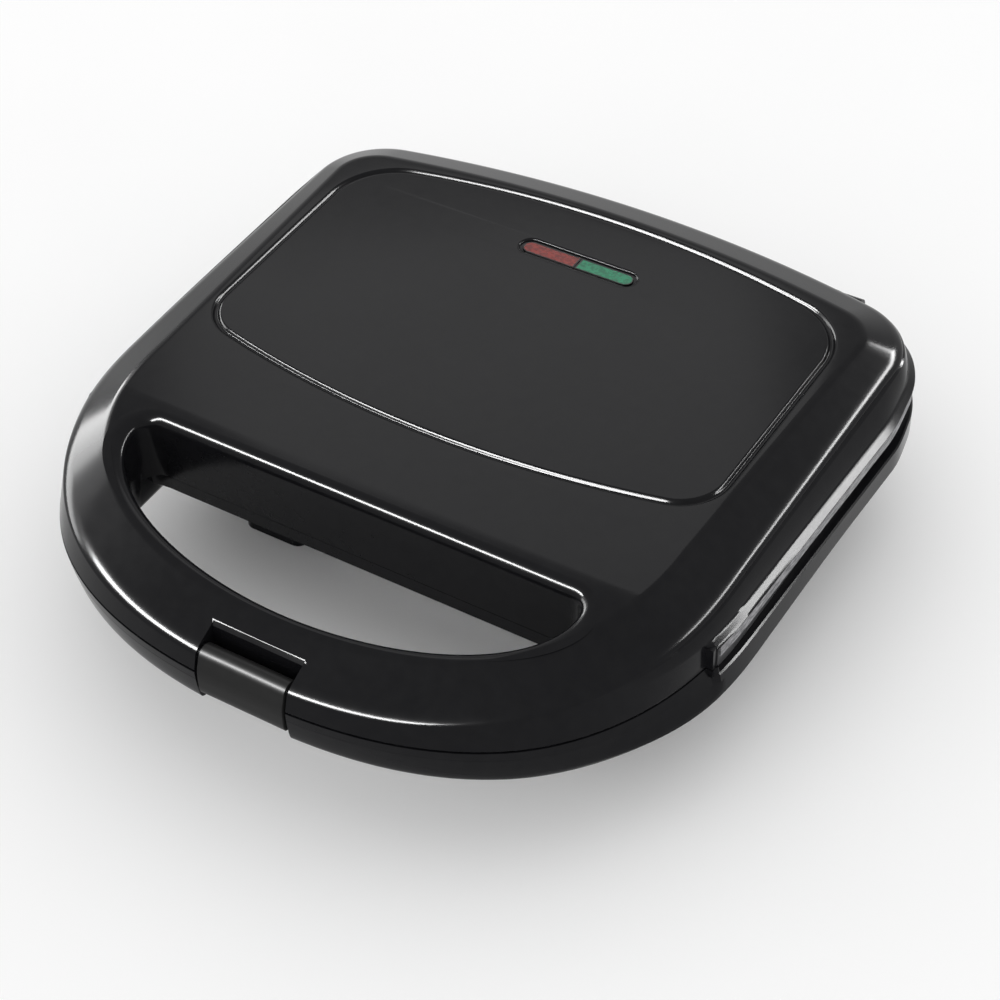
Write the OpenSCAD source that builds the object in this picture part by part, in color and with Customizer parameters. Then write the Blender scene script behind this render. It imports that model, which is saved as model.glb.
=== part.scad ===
// Sandwich toaster with a hinged lid, a loop handle in both halves and a front latch.
// Millimetres, +Z up, +X to the user's right, +Y towards the hinge, feet on Z = 0.

/* [Overall] */
// Height of the flat top above the table
top_height = 70; // [66:0.5:80]
// Half the width of the casings' shoulder line at the sides
shoulder_half_width = 110.4; // [106:0.5:116]
// Distance from the middle of the body to the shoulder line at the handle's front
front_reach = 122.4; // [119:0.5:130]
// Distance from the middle of the body to the shoulder line at the rear
rear_reach = 117; // [113:0.5:121]
// Radius of the shoulder line's two rear corners
rear_corner_radius = 26; // [18:1:34]

/* [Casing surfaces] */
// How far the shoulder lies below the flat top at the sides
shoulder_drop = 6.7; // [4:0.1:9]
// How much further the shoulder falls towards the handle's front
handle_fall = 10.8; // [8:0.2:12]
// Outward slope of the upper casing's walls, in mm per mm of height
wall_draft = 0.3; // [0.2:0.02:0.36]
// Height of the joint between the two casings round the handle
parting_height = 45.5; // [44:0.5:47]
// Wall thickness of both casings
casing_wall = 2.6; // [2.2:0.1:3]
// Space between the two casings where they face each other
casing_gap = 0.3; // [0.2:0.05:0.4]

/* [Side gap and lips] */
// Height of the upper casing's lip, its lower edge
upper_lip_height = 52.8; // [52:0.2:54]
// Height of the lower casing's lip, its upper edge
lower_lip_height = 43.2; // [42:0.2:44]
// How far the lips stand out at the ribs
lip_reach_front = 5; // [4.6:0.1:6]
// How far the lips stand out at the rear corners
lip_reach_rear = 8.8; // [7:0.1:9.5]
// Where the side gap starts, counted from the middle of the body
gap_start = -46; // [-50:0.5:-42]
// Thickness of the rib that closes the side gap in front
rib_thickness = 3; // [2.4:0.2:4]

/* [Handle opening] */
// Half the width of the finger opening
opening_half_width = 77.4; // [72:0.2:80]
// Rear wall of the finger opening, counted from the middle of the body
opening_rear = -60.6; // [-62:0.2:-58]
// Front wall of the finger opening, counted from the middle of the body
opening_front = -101.1; // [-103:0.2:-98]
// Radius of the rolled rim round the opening
rim_roll = 4.3; // [3:0.1:5]

/* [Top panel and lamps] */
// Half the width of the raised panel
panel_half_width = 93.2; // [88:0.2:93.4]
// Rear edge of the panel on the middle line
panel_rear = 97.7; // [94:0.2:98]
// Front edge of the panel on the middle line
panel_front = -26.4; // [-32:0.2:-22]
// Width of the groove round the panel
groove_width = 2.4; // [1.6:0.1:3]
// Depth of the groove round the panel
groove_depth = 0.9; // [0.5:0.1:1.2]
// Distance of the lamp window from the middle of the body
window_y = 72.2; // [64:0.2:78]
// Length of the lamp window
window_length = 42.4; // [38:0.2:46]
// Width of the lamp window
window_width = 6.4; // [5.6:0.1:7.6]

/* [Hinge and latch] */
// Radius of the hinge knuckles
knuckle_radius = 4.4; // [4.2:0.1:4.6]
// Distance of the hinge axis behind the shoulder line's rear middle
hinge_reach = 3; // [2.8:0.1:3.4]
// Radius of the steel hinge pins
hinge_pin_radius = 2; // [1.6:0.1:2.2]
// Distance of each hinge from the middle line
hinge_offset = 70; // [60:1:80]
// Radial clearance of pins that turn in their holes
pin_clearance = 0.05; // [0.03:0.01:0.09]
// Width of the latch
latch_width = 31; // [27:0.5:35]
// Space on each side of the latch
latch_gap = 0.7; // [0.5:0.05:1]
// Thickness of the latch's front plate
latch_thickness = 2.4; // [2:0.1:2.8]
// Radius of the latch's pin
latch_pin_radius = 1.25; // [1:0.05:1.5]

/* [Plates] */
// Space between the two plates with the lid closed
plate_gap = 0.3; // [0.2:0.05:0.5]
// Thickness of the plates' metal
plate_wall = 2.2; // [1.8:0.1:2.8]
// Depth of the triangular pockets
pocket_depth = 8.5; // [6:0.5:8.5]
// Slope of the pocket walls, in mm per mm of depth
pocket_draft = 0.45; // [0.3:0.05:0.6]
// Radius of the heater tube
heater_radius = 3.2; // [2.8:0.1:3.4]

/* [Hidden] */
$fn = 48;
eps = 0.01;
seat = 0.02;
edge_steps = 12;
corner_steps = 5;
rear_steps = 4;

// shoulder line
shoulder_start = -25;
shoulder_power = 2.377;
rear_arc_radius = 418;
rear_taper = 0.00007;
fall_start = 45.6;
fall_power = 3.15;

// bevel's inner line and the clamped edge of the flat top
bevel_half_width = 95.6;
bevel_front = -106.2;
bevel_start = -31;
bevel_power = 2.4;
bevel_rear = 101.5;
bevel_taper = 0.00042;
flat_end = -53;
bevel_fall = 10.6;
bevel_run = 2.25;
top_skin = 2.6;

// lower casing, seen from the side
lip_least = 0.35;
lower_lip_more = 1.1;
handle_bottom = 33.5;
base_bottom = 6.5;
foot_height = 4.2;
foot_radius = 11.5;
pad_radius = 8.5;
pad_recess = 1.6;
foot_x = 59.5;
foot_front_y = -18.5;
foot_rear_y = 82;

upper_face = parting_height + casing_gap / 2;
lower_face = parting_height - casing_gap / 2;
plate_plane = (upper_lip_height + lower_lip_height) / 2;
body_front = opening_rear + casing_wall;

// hinge
hinge_y = rear_reach + hinge_reach;
hinge_z = plate_plane;
tongue_half = hinge_offset - 14;
tongue_low = hinge_z + 1.4;
knuckle_width = 14;
ear_width = 5;
ear_gap = 0.4;
hinge_pin_length = knuckle_width + 2 * (ear_gap + ear_width) - 1;

// latch
latch_pin_y = -front_reach + 3.2;
latch_pin_z = top_height - 20.5;
latch_boss_radius = 3.6;
latch_half = latch_width / 2;
latch_pin_length = latch_width + 2 * latch_gap + 5;
notch_half = latch_half + latch_gap;
notch_rear = latch_pin_y + latch_boss_radius + 2.2;
latch_face_y = -front_reach - 1.95;
latch_bottom = 36.4;
catch_height = 40.8;
catch_reach = 0.9;
recess_y = latch_face_y + latch_thickness + 1.1;

// lamps
bracket_z = top_height - 9.2;
bracket_thickness = 1.4;
lamp_radius = 1.6;
lamp_z = top_height - 6.3;
lens_gap = 0.3;

// inside pieces
plate_flange = 3.4;
lower_post_high = plate_plane - plate_gap / 2 - plate_flange;
upper_post_low = plate_plane + plate_gap / 2 + plate_flange;
lamp_post_x = 27;
gland_x = -40;
gland_z = 24;
gland_hole = 5.2;
gland_seat_radius = 8.6;
gland_seat_y = rear_reach + 1.4;
catch_rear = -107;

// ---- outlines ---------------------------------------------------------------

// turns of the points along a front curve; the lips start at the last but two
lip_turn = asin(pow((shoulder_start - gap_start + 1) / (shoulder_start + front_reach),
  shoulder_power / 2));
front_turns = concat([for (i = [0 : edge_steps - 2]) 90 - 90 * i / edge_steps],
  [lip_turn, lip_turn / 2, 0]);

// right half of a body outline from the front middle to the rear middle:
// a superellipse in front, straight sides, round corners and a bowed rear
function half_outline(w, front, start, power, rear, bow, corner, taper) =
  let (cx = w - corner)
  let (by = rear - bow)
  let (cy = by + sqrt((bow - corner) * (bow - corner) - cx * cx))
  let (turn = atan2(cy - by, cx))
  concat(
    [for (t = front_turns)
      [w * pow(cos(t), 2 / power), start + (front - start) * pow(sin(t), 2 / power)]],
    [for (f = [0.3, 0.6, 0.85])
      let (y = start + (cy - start) * f)
      [w * (1 + taper * (y - start)), y]],
    [for (i = [0 : corner_steps])
      let (t = turn * i / corner_steps)
      let (y = cy + corner * sin(t))
      [(cx + corner * cos(t)) * (1 + taper * (y - start)), y]],
    [for (i = [1 : rear_steps])
      let (t = turn + (90 - turn) * i / rear_steps)
      let (y = by + bow * sin(t))
      [bow * cos(t) * (1 + taper * (y - start)), y]]
  );

// the whole outline, anticlockwise from the front middle
function mirrored(half) =
  concat(half, [for (i = [len(half) - 2 : -1 : 1]) [-half[i][0], half[i][1]]]);

function wrap(list, i) = list[(i + len(list)) % len(list)];

// outward unit normals of a closed outline
function normals(p) = [for (i = [0 : len(p) - 1])
  let (d = wrap(p, i + 1) - wrap(p, i - 1))
  [d[1], -d[0]] / norm(d)];

// a closed outline moved outwards by a distance
function grown(p, d) =
  let (n = normals(p))
  [for (i = [0 : len(p) - 1]) p[i] + n[i] * d];

shoulder = mirrored(half_outline(shoulder_half_width, -front_reach, shoulder_start,
  shoulder_power, rear_reach, rear_arc_radius, rear_corner_radius, rear_taper));
bevel_line = mirrored(half_outline(bevel_half_width, bevel_front, bevel_start,
  bevel_power, bevel_rear, 388, 15, bevel_taper));
panel_line = mirrored(half_outline(panel_half_width, panel_front, -2,
  5.4, panel_rear, 330, 24, 0.0001));

// ring round the body behind the handle opening: out from the shoulder line,
// with its front edge at a given place
function body_ring(front, out, z) =
  let (half = half_outline(shoulder_half_width + out, front, front + 40, 5,
    rear_reach + out, rear_arc_radius, max(9, rear_corner_radius + out), rear_taper))
  [for (p = mirrored(half)) [p[0], p[1], z]];

// outline of the finger opening: straight rear, small rear corners, round front
function opening_outline(w, rear, front, corner) =
  let (middle = rear - corner)
  mirrored(concat(
    [for (i = [0 : 10])
      let (t = 90 - 9 * i)
      [w * pow(cos(t), 1.03), middle + (front - middle) * pow(sin(t), 1.03)]],
    [for (i = [1 : 5])
      let (t = 18 * i)
      [w - corner + corner * cos(t), middle + corner * sin(t)]],
    [for (x = [0.66, 0.33, 0]) [(w - corner) * x, rear]]
  ));

// ---- heights ----------------------------------------------------------------

// height of the shoulder line at a given y
function shoulder_z(y) = top_height - shoulder_drop
  - handle_fall * pow(max(0, (fall_start - y) / (fall_start + front_reach)), fall_power);

// height of the bevel's inner line at a given y
function bevel_z(y) = top_height
  - bevel_fall * pow(max(0, (flat_end - y) / (flat_end - bevel_front)), 1.5);

// how far the wall stands out from the shoulder at a given height
function wall_out(y, z) = wall_draft * (shoulder_z(y) - z);

// reach of the lips: grows to the rear corners, ends just outside the wall at the rear
function lip_reach(p, wall, more) =
  let (along = min(1, max(0, (p[1] - gap_start) / 116)))
  let (rear = min(1, max(0, (p[1] - 84) / (rear_reach - 84 - 4))))
  let (reach = lip_reach_front + (lip_reach_rear - lip_reach_front) * along + more)
  max(wall + lip_least, reach * (1 - rear));

// ---- surfaces made of rings -------------------------------------------------

// closed solid through rings with the same number of points, lowest ring first
module skin(rings) {
  n = len(rings[0]);
  m = len(rings);
  polyhedron(
    points = [for (r = rings) for (p = r) p],
    faces = concat(
      [[for (i = [0 : n - 1]) i]],
      [[for (i = [n - 1 : -1 : 0]) (m - 1) * n + i]],
      [for (k = [0 : m - 2]) for (i = [0 : n - 1])
        [k * n + i, (k + 1) * n + i, (k + 1) * n + (i + 1) % n]],
      [for (k = [0 : m - 2]) for (i = [0 : n - 1])
        [k * n + i, (k + 1) * n + (i + 1) % n, k * n + (i + 1) % n]]
    )
  );
}

// joins lofted forms into one closed form, before anything round is cut from it
module moulded() {
  resize([0, 0, 0])
    union()
      children();
}

// ring of the upper casing below the shoulder, a share of the way down to the joint
function wall_ring(share) =
  let (n = normals(shoulder))
  [for (i = [0 : len(shoulder) - 1])
    let (top = shoulder_z(shoulder[i][1]))
    let (z = top + (upper_face - top) * share)
    let (p = shoulder[i] + n[i] * wall_out(shoulder[i][1], z))
    [p[0], p[1], z]];

// ring near the shoulder: moved out and up from the sharp edge
function edge_ring(out, up) =
  let (q = grown(shoulder, out))
  [for (i = [0 : len(q) - 1]) [q[i][0], q[i][1], shoulder_z(shoulder[i][1]) + up]];

// upper casing as one closed form: walls, rounded shoulder and bevel as a loft, cut
// by the top surface that falls away towards the handle
module upper_outside() {
  n = normals(bevel_line);
  intersection() {
    skin([
      wall_ring(1),
      wall_ring(0.55),
      edge_ring(0.55, -1.8),
      edge_ring(-0.2, -0.35),
      edge_ring(-1.7, 0.75),
      [for (i = [0 : len(bevel_line) - 1])
        let (p = bevel_line[i] - n[i] * bevel_run * (top_height + 2 - bevel_z(bevel_line[i][1])))
        [p[0], p[1], top_height + 2]]
    ]);
    rotate([90, 0, 90])
      translate([0, 0, -140])
        linear_extrude(280)
          polygon(concat(
            [[150, top_height], [150, 0], [-150, 0]],
            [for (i = [10 : -1 : 0])
              let (y = flat_end - 7.5 * i)
              [y, bevel_z(y)]]
          ));
  }
}

// the lower casing's side profile: out from the shoulder and front edge at a height
module lower_outside() {
  part = wall_ring(1);
  n = normals(shoulder);
  skin([
    body_ring(body_y(base_bottom), -13, base_bottom),
    body_ring(body_y(8), -9.8, 8),
    body_ring(body_y(12), -6.5, 12),
    body_ring(body_y(20), -1.6, 20),
    body_ring(body_y(28), 2.9, 28),
    body_ring(body_y(handle_bottom), 4, handle_bottom),
    lower_ring(part, n, 6.8, 1.2, handle_bottom + 0.3),
    lower_ring(part, n, 3.6, 1, handle_bottom + 1.4),
    lower_ring(part, n, 1, 0.7, handle_bottom + 5),
    lower_ring(part, n, 0, 0, lower_face)
  ]);
}

// front of the body below the handle: straight down, then sloping back
function body_y(z) = opening_rear + 0.93 * max(0, parting_height - 5 - z);

// ring of the lower casing: pulled in more round the handle than round the body
function lower_ring(part, n, handle_in, body_in, z) = [for (i = [0 : len(part) - 1])
  let (f = min(1, max(0, (part[i][1] + 64) / 14)))
  let (in = handle_in * (1 - f) + body_in * f)
  [part[i][0] - n[i][0] * in, part[i][1] - n[i][1] * in, z]];

// cutter for the finger opening in the upper casing, with the rolled rim
module upper_opening() {
  inner = opening_outline(opening_half_width, opening_rear, opening_front, 6);
  outer = opening_outline(opening_half_width + rim_roll + 3, opening_rear + rim_roll,
    opening_front - rim_roll, 12);
  skin(concat(
    [[for (p = inner) [p[0], p[1], parting_height - 3]]],
    [for (t = [0 : 15 : 75])
      [for (i = [0 : len(inner) - 1])
        let (s = 1 - cos(t))
        let (q = inner[i] + (outer[i] - inner[i]) * s)
        [q[0], q[1], bevel_z(outer[i][1]) - rim_roll * (1 - sin(t))]]],
    [[for (p = outer) [p[0], p[1], bevel_z(p[1]) + 0.25]]],
    [[for (p = outer) [p[0], p[1], top_height + 2]]]
  ));
}

// cutter for the opening in the lower casing: its rear wall slopes back below
module lower_opening() {
  inner = opening_outline(opening_half_width + 0.2, opening_rear + 0.1,
    opening_front - 0.1, 6);
  skin([
    [for (p = grown(inner, 4)) [p[0], sloped_y(p[1], handle_bottom - 0.6), handle_bottom - 0.6]],
    [for (p = grown(inner, 2.4)) [p[0], sloped_y(p[1], handle_bottom + 0.8), handle_bottom + 0.8]],
    [for (p = grown(inner, 0.6)) [p[0], sloped_y(p[1], handle_bottom + 3.6), handle_bottom + 3.6]],
    [for (p = inner) [p[0], p[1], parting_height - 5]],
    [for (p = inner) [p[0], p[1], parting_height + 2]]
  ]);
}

// moves the opening's rear wall back to the body's sloping front
function sloped_y(y, z) = y > opening_rear - 6
  ? max(y, body_y(z) + (y - opening_rear) * 0.2) : y;

// swept lip of either casing: profile given as [height above the lip's edge, share of reach]
module lip(edge_z, up) {
  n = normals(shoulder);
  shape = [[-0.8, 1], [0.9, 1], [1.5, 0.72], [2.8, 0.3], [4.2, 0.02], [4.2, -0.3], [-0.8, -0.3]];
  m = len(shape);
  rows = [for (i = [0 : len(shoulder) - 1]) if (shoulder[i][1] > gap_start - 1.5) [for (s = shape)
    let (z = edge_z + up * s[0])
    let (base = wall_out(shoulder[i][1], up > 0 ? z : upper_face) - (up > 0 ? 0 : 0.3))
    let (edge = lip_reach(shoulder[i], base, up > 0 ? 0 : lower_lip_more))
    let (out = s[1] < 0 ? base - 1.6 : base + (edge - base) * s[1])
    [shoulder[i][0] + n[i][0] * out, shoulder[i][1] + n[i][1] * out, z]]];
  r = len(rows);
  flip = up < 0;
  ends = [[for (j = [0 : m - 1]) flip ? j : m - 1 - j],
    [for (j = [0 : m - 1]) (r - 1) * m + (flip ? m - 1 - j : j)]];
  sides = [for (k = [0 : r - 2]) for (j = [0 : m - 1])
    let (a = k * m + j)
    let (b = k * m + (j + 1) % m)
    each flip
      ? [[a, a + m, b], [b, a + m, b + m]]
      : [[a, b, a + m], [b, b + m, a + m]]];
  polyhedron(points = [for (row = rows) each row], faces = concat(ends, sides));
}

// block behind the ribs that is taken away from both casings to leave the side gap;
// between the hinges a tongue of wall stays
module side_gap(low, high, tongue_low, tongue_high) {
  difference() {
    translate([-150, gap_start, low])
      cube([300, 200, high - low]);
    translate([-tongue_half, rear_reach - 10, tongue_low])
      cube([2 * tongue_half, 60, tongue_high - tongue_low]);
  }
}

// rib that closes the side gap in front, on both sides
module ribs(low, high) {
  for (s = [-1, 1])
    translate([s * (rib_x() - 2.5) - 3.5, gap_start - rib_thickness, low])
      cube([7, rib_thickness + 1, high - low]);
}

function rib_x() = shoulder_half_width + lip_reach_front + lower_lip_more;

// ---- upper casing -----------------------------------------------------------

module upper_cavity() {
  skin([
    body_ring(body_front, 0.9, upper_face - 2),
    body_ring(body_front, -0.4, top_height - 13.5),
    body_ring(body_front, -3.2, top_height - 9.6),
    body_ring(body_front + 3, -17, top_height - top_skin)
  ]);
}

// channel under the handle, left open towards the joint
module handle_channel(low, high) {
  difference() {
    translate([0, 0, low])
      linear_extrude(high - low)
        polygon(grown(shoulder, -5.5));
    translate([0, 0, low - 1])
      linear_extrude(high - low + 2)
        polygon(grown(opening_outline(opening_half_width, opening_rear, opening_front, 6), 3.4));
    translate([-150, opening_rear - 8, low - 1])
      cube([300, 300, high - low + 2]);
    for (a = [-60, -36, 36, 60])
      translate([0, opening_rear, low - 1])
        rotate([0, 0, a])
          translate([-1, -140, 0])
            cube([2, 140, high - low + 2]);
    translate([-notch_half - 3, -150, low - 1])
      cube([2 * notch_half + 6, 60, high - low + 2]);
  }
}

// notch for the latch through the front of the upper casing
module latch_notch() {
  translate([-notch_half, -150, parting_height - 2])
    cube([2 * notch_half, 150 + notch_rear, 30]);
}

// knuckle with its arm, profile in the YZ plane drawn once and given its width
module hinge_arm(x, width, profile) {
  translate([x - width / 2, hinge_y, hinge_z])
    rotate([90, 0, 90])
      linear_extrude(width)
        polygon(profile);
  translate([x - width / 2, hinge_y, hinge_z])
    rotate([0, 90, 0])
      cylinder(r = knuckle_radius, h = width);
}

module hinge_bore(x, radius, length) {
  translate([x - length / 2, hinge_y, hinge_z])
    rotate([0, 90, 0])
      cylinder(r = radius, h = length);
}

upper_arm = [[-knuckle_radius, 0], [-knuckle_radius, 5.6], [-11, 5.6], [-11, 14],
  [-7, 14], [knuckle_radius * 0.5, knuckle_radius * 0.87], [0, 0]];
lower_arm = [[-knuckle_radius, 0], [0, -knuckle_radius], [-4, -15], [-10.5, -19],
  [-10.5, -5.4], [-knuckle_radius - 0.5, -5.4]];

// post for the screws that hold the plates
module post(x, y, low, high) {
  translate([x, y, low])
    cylinder(r = 4, h = high - low, $fn = 32);
}

screw_x = 100;
screw_front_y = -36;
screw_rear_y = 90;
screw_places = [[screw_x, screw_front_y], [-screw_x, screw_front_y],
  [screw_x - 6, screw_rear_y], [6 - screw_x, screw_rear_y]];
screw_hole = 1.4;
screw_radius = 1.38;

module window_shape(grow) {
  r = window_width / 2 + grow;
  for (s = [-1, 1])
    translate([s * (window_length - window_width) / 2, window_y])
      circle(r = r);
  translate([-(window_length - window_width) / 2, window_y - r])
    square([window_length - window_width, 2 * r]);
}

module upper_housing() {
  color("#131313")
  difference() {
    union() {
      moulded()
        difference() {
          union() {
            upper_outside();
            lip(upper_lip_height, 1);
            ribs(upper_face + 0.1, upper_lip_height + 3);
          }
          upper_cavity();
          side_gap(upper_face - 4, upper_lip_height, tongue_low, upper_lip_height + 1);
          upper_opening();
          handle_channel(upper_face - 1, top_height - 20.5);
          latch_notch();
          // groove round the panel
          translate([0, 0, top_height - groove_depth])
            linear_extrude(groove_depth + 2)
              difference() {
                polygon(grown(panel_line, groove_width / 2));
                polygon(grown(panel_line, -groove_width / 2));
              }
        }
      intersection() {
        union() {
          for (p = screw_places)
            post(p[0], p[1], upper_post_low, top_height - 5);
          for (s = [-1, 1])
            translate([s * lamp_post_x, window_y, bracket_z + bracket_thickness])
              cylinder(r = 2.6, h = top_height - 1 - bracket_z - bracket_thickness, $fn = 32);
        }
        translate([-106, -60, upper_face - 1])
          cube([212, 180, top_height - upper_face]);
      }
      for (s = [-1, 1])
        hinge_arm(s * hinge_offset, knuckle_width, upper_arm);
    }
    // lamp window with its sunk surround
    translate([0, 0, top_height - 0.8])
      linear_extrude(3)
        window_shape(0.9);
    translate([0, 0, top_height - 6])
      linear_extrude(8)
        window_shape(-0.4);
    for (p = screw_places)
      translate([p[0], p[1], upper_post_low - 1])
        cylinder(r = screw_hole, h = 9, $fn = 24);
    for (s = [-1, 1])
      translate([s * lamp_post_x, window_y, bracket_z])
        cylinder(r = 0.9, h = 6.5, $fn = 24);
    for (s = [-1, 1])
      hinge_bore(s * hinge_offset, hinge_pin_radius + pin_clearance, knuckle_width + 2);
    // pin seats beside the latch
    translate([-latch_pin_length / 2 - 0.3, latch_pin_y, latch_pin_z])
      rotate([0, 90, 0])
        cylinder(r = latch_pin_radius + 0.02, h = latch_pin_length + 0.6, $fn = 32);
  }
}

// ---- lower casing -----------------------------------------------------------

module lower_cavity() {
  skin([
    body_ring(body_y(base_bottom + casing_wall) + casing_wall + 1, -15,
      base_bottom + casing_wall),
    body_ring(body_y(12) + casing_wall, -9.4, 12),
    body_ring(body_y(20) + casing_wall, -4.4, 20),
    body_ring(body_y(28) + casing_wall, 0, 28),
    body_ring(body_y(handle_bottom) + casing_wall, 1.2, handle_bottom),
    body_ring(body_front, 1.9, parting_height + 2)
  ]);
}

module lower_housing() {
  color("#131313")
  difference() {
    union() {
      moulded()
        difference() {
          union() {
            lower_outside();
            lip(lower_lip_height, -1);
            ribs(lower_lip_height - 2.6, lower_face - 0.1);
          }
          lower_cavity();
          side_gap(lower_lip_height, parting_height + 4, lower_lip_height - 1, lower_face + 1);
          lower_opening();
          handle_channel(handle_bottom + 3, lower_face + 1);
          // air slots in the floor
          for (i = [-4 : 4])
            translate([i * 9 - 1.5, 20, base_bottom - 1])
              cube([3, 34, casing_wall + 2]);
        }
      intersection() {
        for (p = screw_places)
          post(p[0], p[1], base_bottom + 1, lower_post_high);
        lower_outside();
      }
      // flat seat for the cord gland on the sloping rear wall
      translate([gland_x, gland_seat_y, gland_z])
        rotate([90, 0, 0])
          cylinder(r = gland_seat_radius, h = 9);
      for (s = [-1, 1])
        for (e = [-1, 1])
          hinge_arm(s * hinge_offset + e * (knuckle_width / 2 + ear_gap + ear_width / 2),
            ear_width, lower_arm);
      // feet
      for (x = [-foot_x, foot_x])
        for (y = [foot_front_y, foot_rear_y])
          translate([x, y, base_bottom - foot_height])
            cylinder(r = foot_radius, h = foot_height + 1);
    }
    for (x = [-foot_x, foot_x])
      for (y = [foot_front_y, foot_rear_y])
        translate([x, y, base_bottom - foot_height - 1])
          cylinder(r = pad_radius + 0.1, h = 1 + pad_recess);
    for (p = screw_places)
      translate([p[0], p[1], lower_post_high - 8])
        cylinder(r = screw_hole, h = 9, $fn = 24);
    for (s = [-1, 1])
      hinge_bore(s * hinge_offset, hinge_pin_radius + 0.01, hinge_pin_length + 3);
    // cord gland hole in the rear wall, with a flat face for its flange
    translate([gland_x, rear_reach - 20, gland_z])
      rotate([-90, 0, 0])
        cylinder(r = gland_hole, h = 40);
    translate([gland_x, gland_seat_y, gland_z])
      rotate([-90, 0, 0])
        cylinder(r = gland_hole + 2.6, h = 10);
    // notch for the catch block and the latch
    translate([-notch_half, -150, handle_bottom - 2])
      cube([2 * notch_half, 150 + catch_rear, 20]);
  }
}

// block that closes the lower handle behind the latch and carries the catch rib
module latch_catch() {
  half = notch_half - seat;
  front = recess_y;
  top = lower_face;
  color("#1a1a1a")
  union() {
    rotate([90, 0, 90])
      translate([0, 0, -half])
        linear_extrude(2 * half)
          polygon([[front, top], [front, handle_bottom + 4.5], [front + 1.2, handle_bottom + 1.6],
            [front + 3.4, handle_bottom + 0.3], [catch_rear - seat, handle_bottom + 0.3],
            [catch_rear - seat, top]]);
    rotate([90, 0, 90])
      translate([0, 0, -latch_half + 1])
        linear_extrude(latch_width - 2)
          polygon([[front + 1, catch_height - 2.4], [front - catch_reach, catch_height],
            [front - catch_reach, catch_height + 0.8], [front + 1, catch_height + 2.4]]);
  }
}

// ---- moving and bought-in pieces --------------------------------------------

module hinge_pins() {
  color("#b9bcbf")
  for (s = [-1, 1])
    hinge_bore(s * hinge_offset, hinge_pin_radius, hinge_pin_length);
}

module latch_pin() {
  color("#b9bcbf")
  translate([-latch_pin_length / 2, latch_pin_y, latch_pin_z])
    rotate([0, 90, 0])
      cylinder(r = latch_pin_radius, h = latch_pin_length, $fn = 32);
}

module latch() {
  inner = latch_face_y + latch_thickness;
  y = latch_pin_y;
  z = latch_pin_z;
  color("#1a1a1a")
  difference() {
    union() {
      translate([-latch_half, y, z])
        rotate([0, 90, 0])
          cylinder(r = latch_boss_radius, h = latch_width);
      rotate([90, 0, 90])
        translate([0, 0, -latch_half])
          linear_extrude(latch_width)
            polygon([[y - latch_boss_radius * 0.94, z + latch_boss_radius * 0.34],
              [y - latch_boss_radius - 0.6, z - 1.2], [latch_face_y, z - 5],
              [latch_face_y, latch_bottom + 4], [latch_face_y + 0.5, latch_bottom + 1.4],
              [latch_face_y + 1.6, latch_bottom], [inner + 0.5, latch_bottom + 0.4],
              [inner + 0.5, catch_height - 2.6], [inner, catch_height - 1.8], [inner, z - 4],
              [y, z - 1]]);
    }
    translate([-latch_half - 1, y, z])
      rotate([0, 90, 0])
        cylinder(r = latch_pin_radius + pin_clearance, h = latch_width + 2, $fn = 32);
  }
}

module rubber_feet() {
  color("#262626")
  for (x = [-foot_x, foot_x])
    for (y = [foot_front_y, foot_rear_y])
      translate([x, y, 0])
        cylinder(r = pad_radius, h = base_bottom - foot_height + pad_recess);
}

module cord_gland() {
  color("#1c1c1c")
  translate([gland_x, gland_seat_y + seat, gland_z])
    rotate([-90, 0, 0])
      difference() {
        union() {
          translate([0, 0, -12.2])
            cylinder(r = gland_hole - seat, h = 12.8);
          cylinder(r = gland_hole + 2, h = 2);
          translate([0, 0, 2])
            cylinder(r1 = gland_hole - 0.6, r2 = gland_hole - 1.2, h = gland_length - 2, $fn = 32);
          translate([0, 0, -11.9])
            cylinder(r = gland_hole + 1.4, h = 1.9);
        }
        translate([0, 0, -13])
          cylinder(r = gland_bore, h = 30);
      }
}

gland_length = 5.8;
gland_bore = 3.2;

module red_lens() {
  color("#c8261c")
  lens_half(-1);
}

module green_lens() {
  color("#169a5a")
  lens_half(1);
}

// one half of the obround lens pair, parted on the middle line
module lens_half(side) {
  translate([0, 0, 0])
  intersection() {
    union() {
      translate([0, 0, top_height - 4.6])
        linear_extrude(4.2)
          window_shape(-0.45);
      translate([0, 0, top_height - 4.6])
        linear_extrude(1.9)
          window_shape(1);
    }
    translate([side > 0 ? lens_gap / 2 : -40, window_y - 10, top_height - 8])
      cube([40 - lens_gap / 2, 20, 10]);
  }
}

module lamp_bracket() {
  color("#d8d2c4")
  difference() {
    union() {
      translate([-lamp_post_x - 4, window_y - 5, bracket_z])
        cube([2 * lamp_post_x + 8, 10, bracket_thickness]);
      for (s = [-1, 1])
        translate([s * 11 - 8, window_y - 4.4, bracket_z + bracket_thickness - 0.2])
          cube([16, 8.8, lamp_z - bracket_z - bracket_thickness]);
    }
    for (s = [-1, 1])
      translate([s * lamp_post_x, window_y, bracket_z - 1])
        cylinder(r = 1.3, h = 5, $fn = 24);
    for (s = [-1, 1])
      translate([s * 11 - 7, window_y, lamp_z])
        rotate([0, 90, 0])
          cylinder(r = lamp_radius + 0.02, h = 14, $fn = 32);
  }
}

module neon_lamps() {
  color("#f2c9a0")
  for (s = [-1, 1])
    translate([s * 11 - 6, window_y, lamp_z])
      rotate([0, 90, 0]) {
        cylinder(r = lamp_radius, h = 10, $fn = 32);
        translate([0, 0, 10])
          sphere(r = lamp_radius, $fn = 24);
      }
}

module lamp_screws() {
  color("#b9bcbf")
  for (s = [-1, 1])
    translate([s * lamp_post_x, window_y, bracket_z]) {
      translate([0, 0, -1.4])
        cylinder(r = 2.4, h = 1.4, $fn = 32);
      translate([0, 0, -0.5])
        cylinder(r = 0.88, h = 6.5, $fn = 24);
    }
}

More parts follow.
